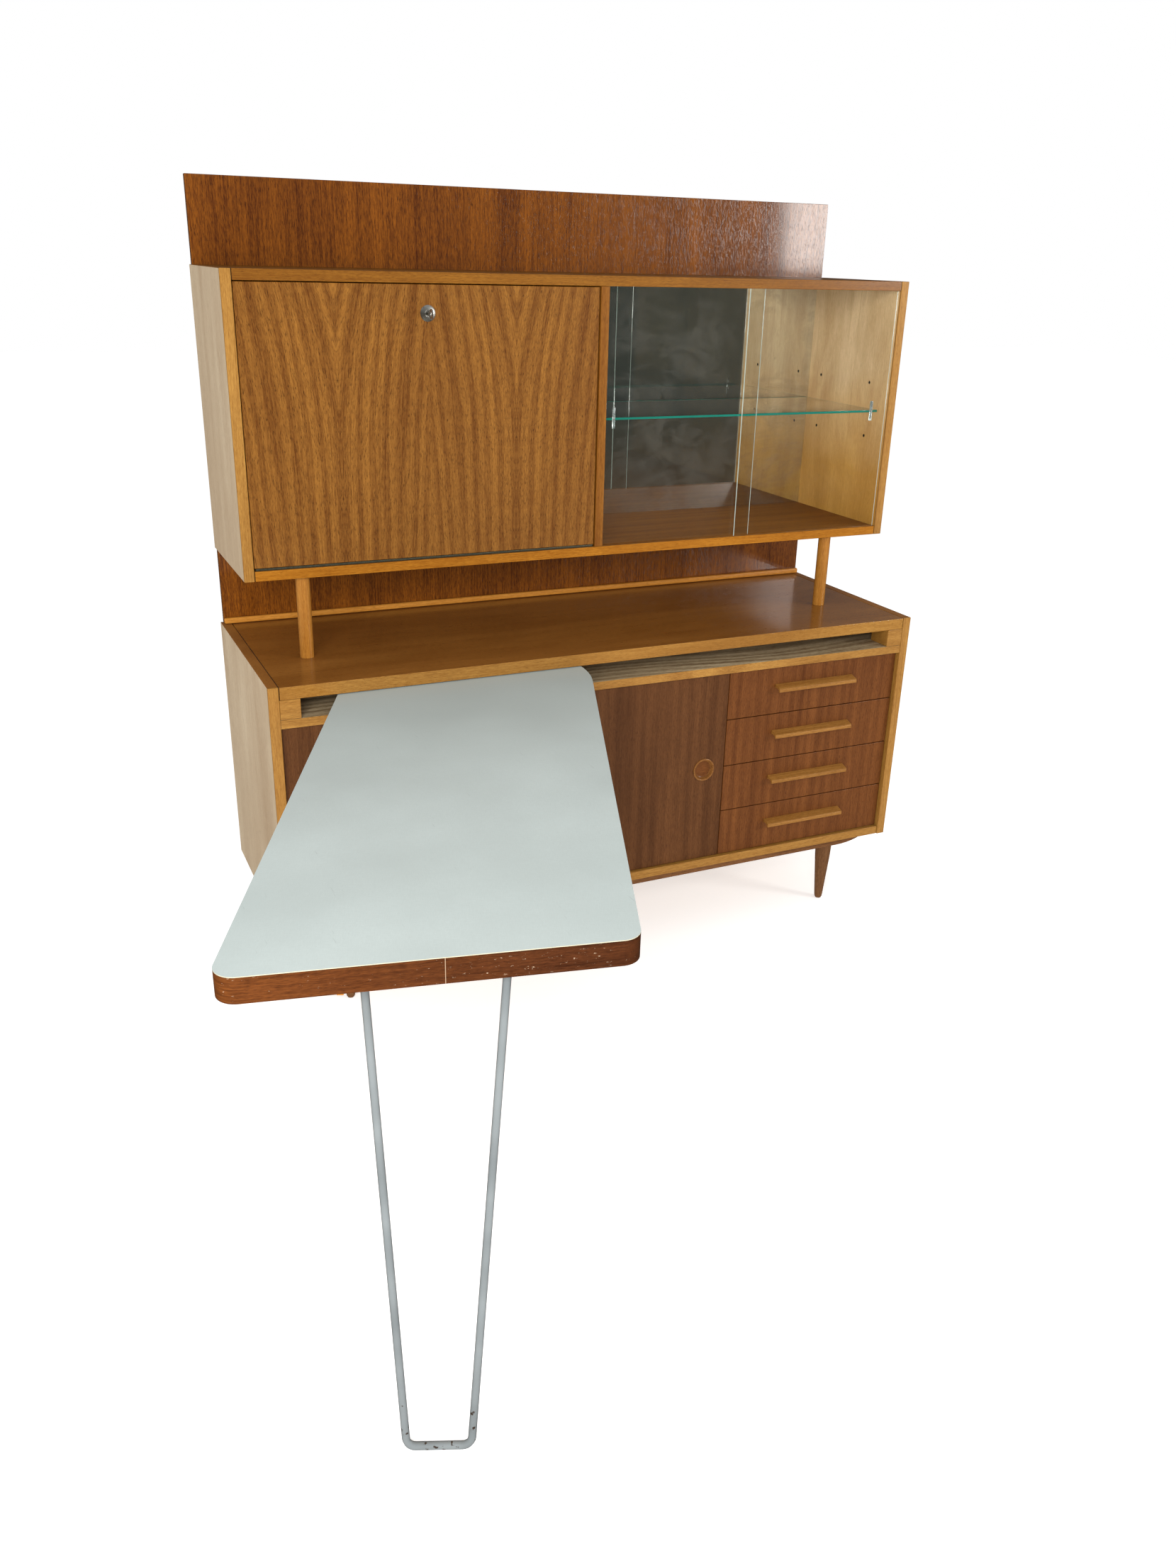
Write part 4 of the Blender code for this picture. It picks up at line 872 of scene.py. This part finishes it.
# ---- stage --------------------------------------------------------------------------------------------
def add_camera():
    camera = link(bpy.data.objects.new("camera", bpy.data.cameras.new("camera")))
    camera.data.sensor_width = SENSOR
    camera.data.lens = LENS
    camera.data.clip_end = CLIP_END
    camera.matrix_world = (
        Matrix.Translation(own(*CAMERA_PLACE))
        @ Matrix.Rotation(-CAMERA_YAW, 4, "Z")
        @ Matrix.Rotation(math.radians(90) + CAMERA_PITCH, 4, "X")
        @ Matrix.Rotation(CAMERA_ROLL, 4, "Z")
    )
    bpy.context.scene.camera = camera


def soft_light(name, place, target, size, power, colour):
    lamp = bpy.data.lights.new(name, "AREA")
    lamp.shape = "RECTANGLE"
    lamp.size, lamp.size_y = size
    lamp.energy = power
    lamp.color = colour
    light = link(bpy.data.objects.new(name, lamp))
    start = own(*place)
    light.location = start
    light.rotation_euler = (own(*target) - start).to_track_quat("-Z", "Y").to_euler()
    return light


def add_floor():
    bpy.ops.mesh.primitive_plane_add(size=FLOOR_SIZE, location=(0.0, 0.0, -FLOOR_DROP))
    floor = bpy.context.object
    floor.name = "floor"
    floor.visible_glossy = False
    floor.visible_transmission = False
    finish = Finish("floor_paper", Emission_Color=(*WHITE, 1.0), Emission_Strength=FLOOR_GLOW)
    cloud = finish.noise(finish.place, 0.6, 2.0)
    finish.colour(finish.mix(finish.even(cloud), linear(244, 245, 246), linear(247, 248, 249)))
    finish.rough(finish.even(cloud, 0.85, 0.92))
    floor.data.materials.append(finish.material)


def add_surroundings():
    """A white studio all round, with a dim room for the varnish and the mirror to reflect."""
    world = bpy.data.worlds.new("studio")
    world.use_nodes = True
    world.node_tree.nodes.clear()
    nodes = Nodes(world.node_tree)
    path = nodes.node("ShaderNodeLightPath")
    direction = nodes.node("ShaderNodeTexCoord").outputs["Generated"]
    climb = nodes.split(direction)[2]
    studio = nodes.node("ShaderNodeBackground")
    strength = nodes.spread(path.outputs["Is Camera Ray"], 0.0, 1.0, SKY_LIGHT, 1.0)
    nodes.feed(studio.inputs["Color"], WHITE)
    nodes.feed(studio.inputs["Strength"], strength)
    room = nodes.node("ShaderNodeBackground")
    walls = nodes.mix(nodes.spread(climb, *ROOM_RISE), ROOM_LOW, ROOM_HIGH)
    nodes.feed(room.inputs["Color"], nodes.mix(nodes.spread(climb, *ROOM_GROUND), walls, ROOM_FLOOR))
    reflected = nodes.math("GREATER_THAN", path.outputs["Glossy Depth"], 0.5)
    either = nodes.node("ShaderNodeMixShader")
    for socket, value in zip(either.inputs, (reflected, studio.outputs[0], room.outputs[0])):
        nodes.feed(socket, value)
    nodes.feed(nodes.node("ShaderNodeOutputWorld").inputs["Surface"], either.outputs[0])
    world.cycles.sampling_method = "NONE"  # the light path test above holds only for traced rays
    bpy.context.scene.world = world


def add_lights():
    key = soft_light(
        "key_light", place=(-2.0, -3.1, 1.9), target=(0.0, 0.2, 1.1), size=(1.8, 1.5), power=115.0,
        colour=(1.0, 0.985, 0.96),
    )
    key.visible_glossy = False  # the mirror and the panes don't show the lamp
    soft_light(  # the panel's glare
        "window_light", place=(3.63, -2.9, 2.05), target=(0.75, 0.42, 1.7), size=(1.25, 1.0), power=76.0,
        colour=(1.0, 0.98, 0.95),
    )


finish_cabinet()
finish_fronts()
finish_table()
finish_hutch()
add_camera()
add_floor()
add_surroundings()
add_lights()
bpy.context.scene.view_settings.view_transform = "Standard"
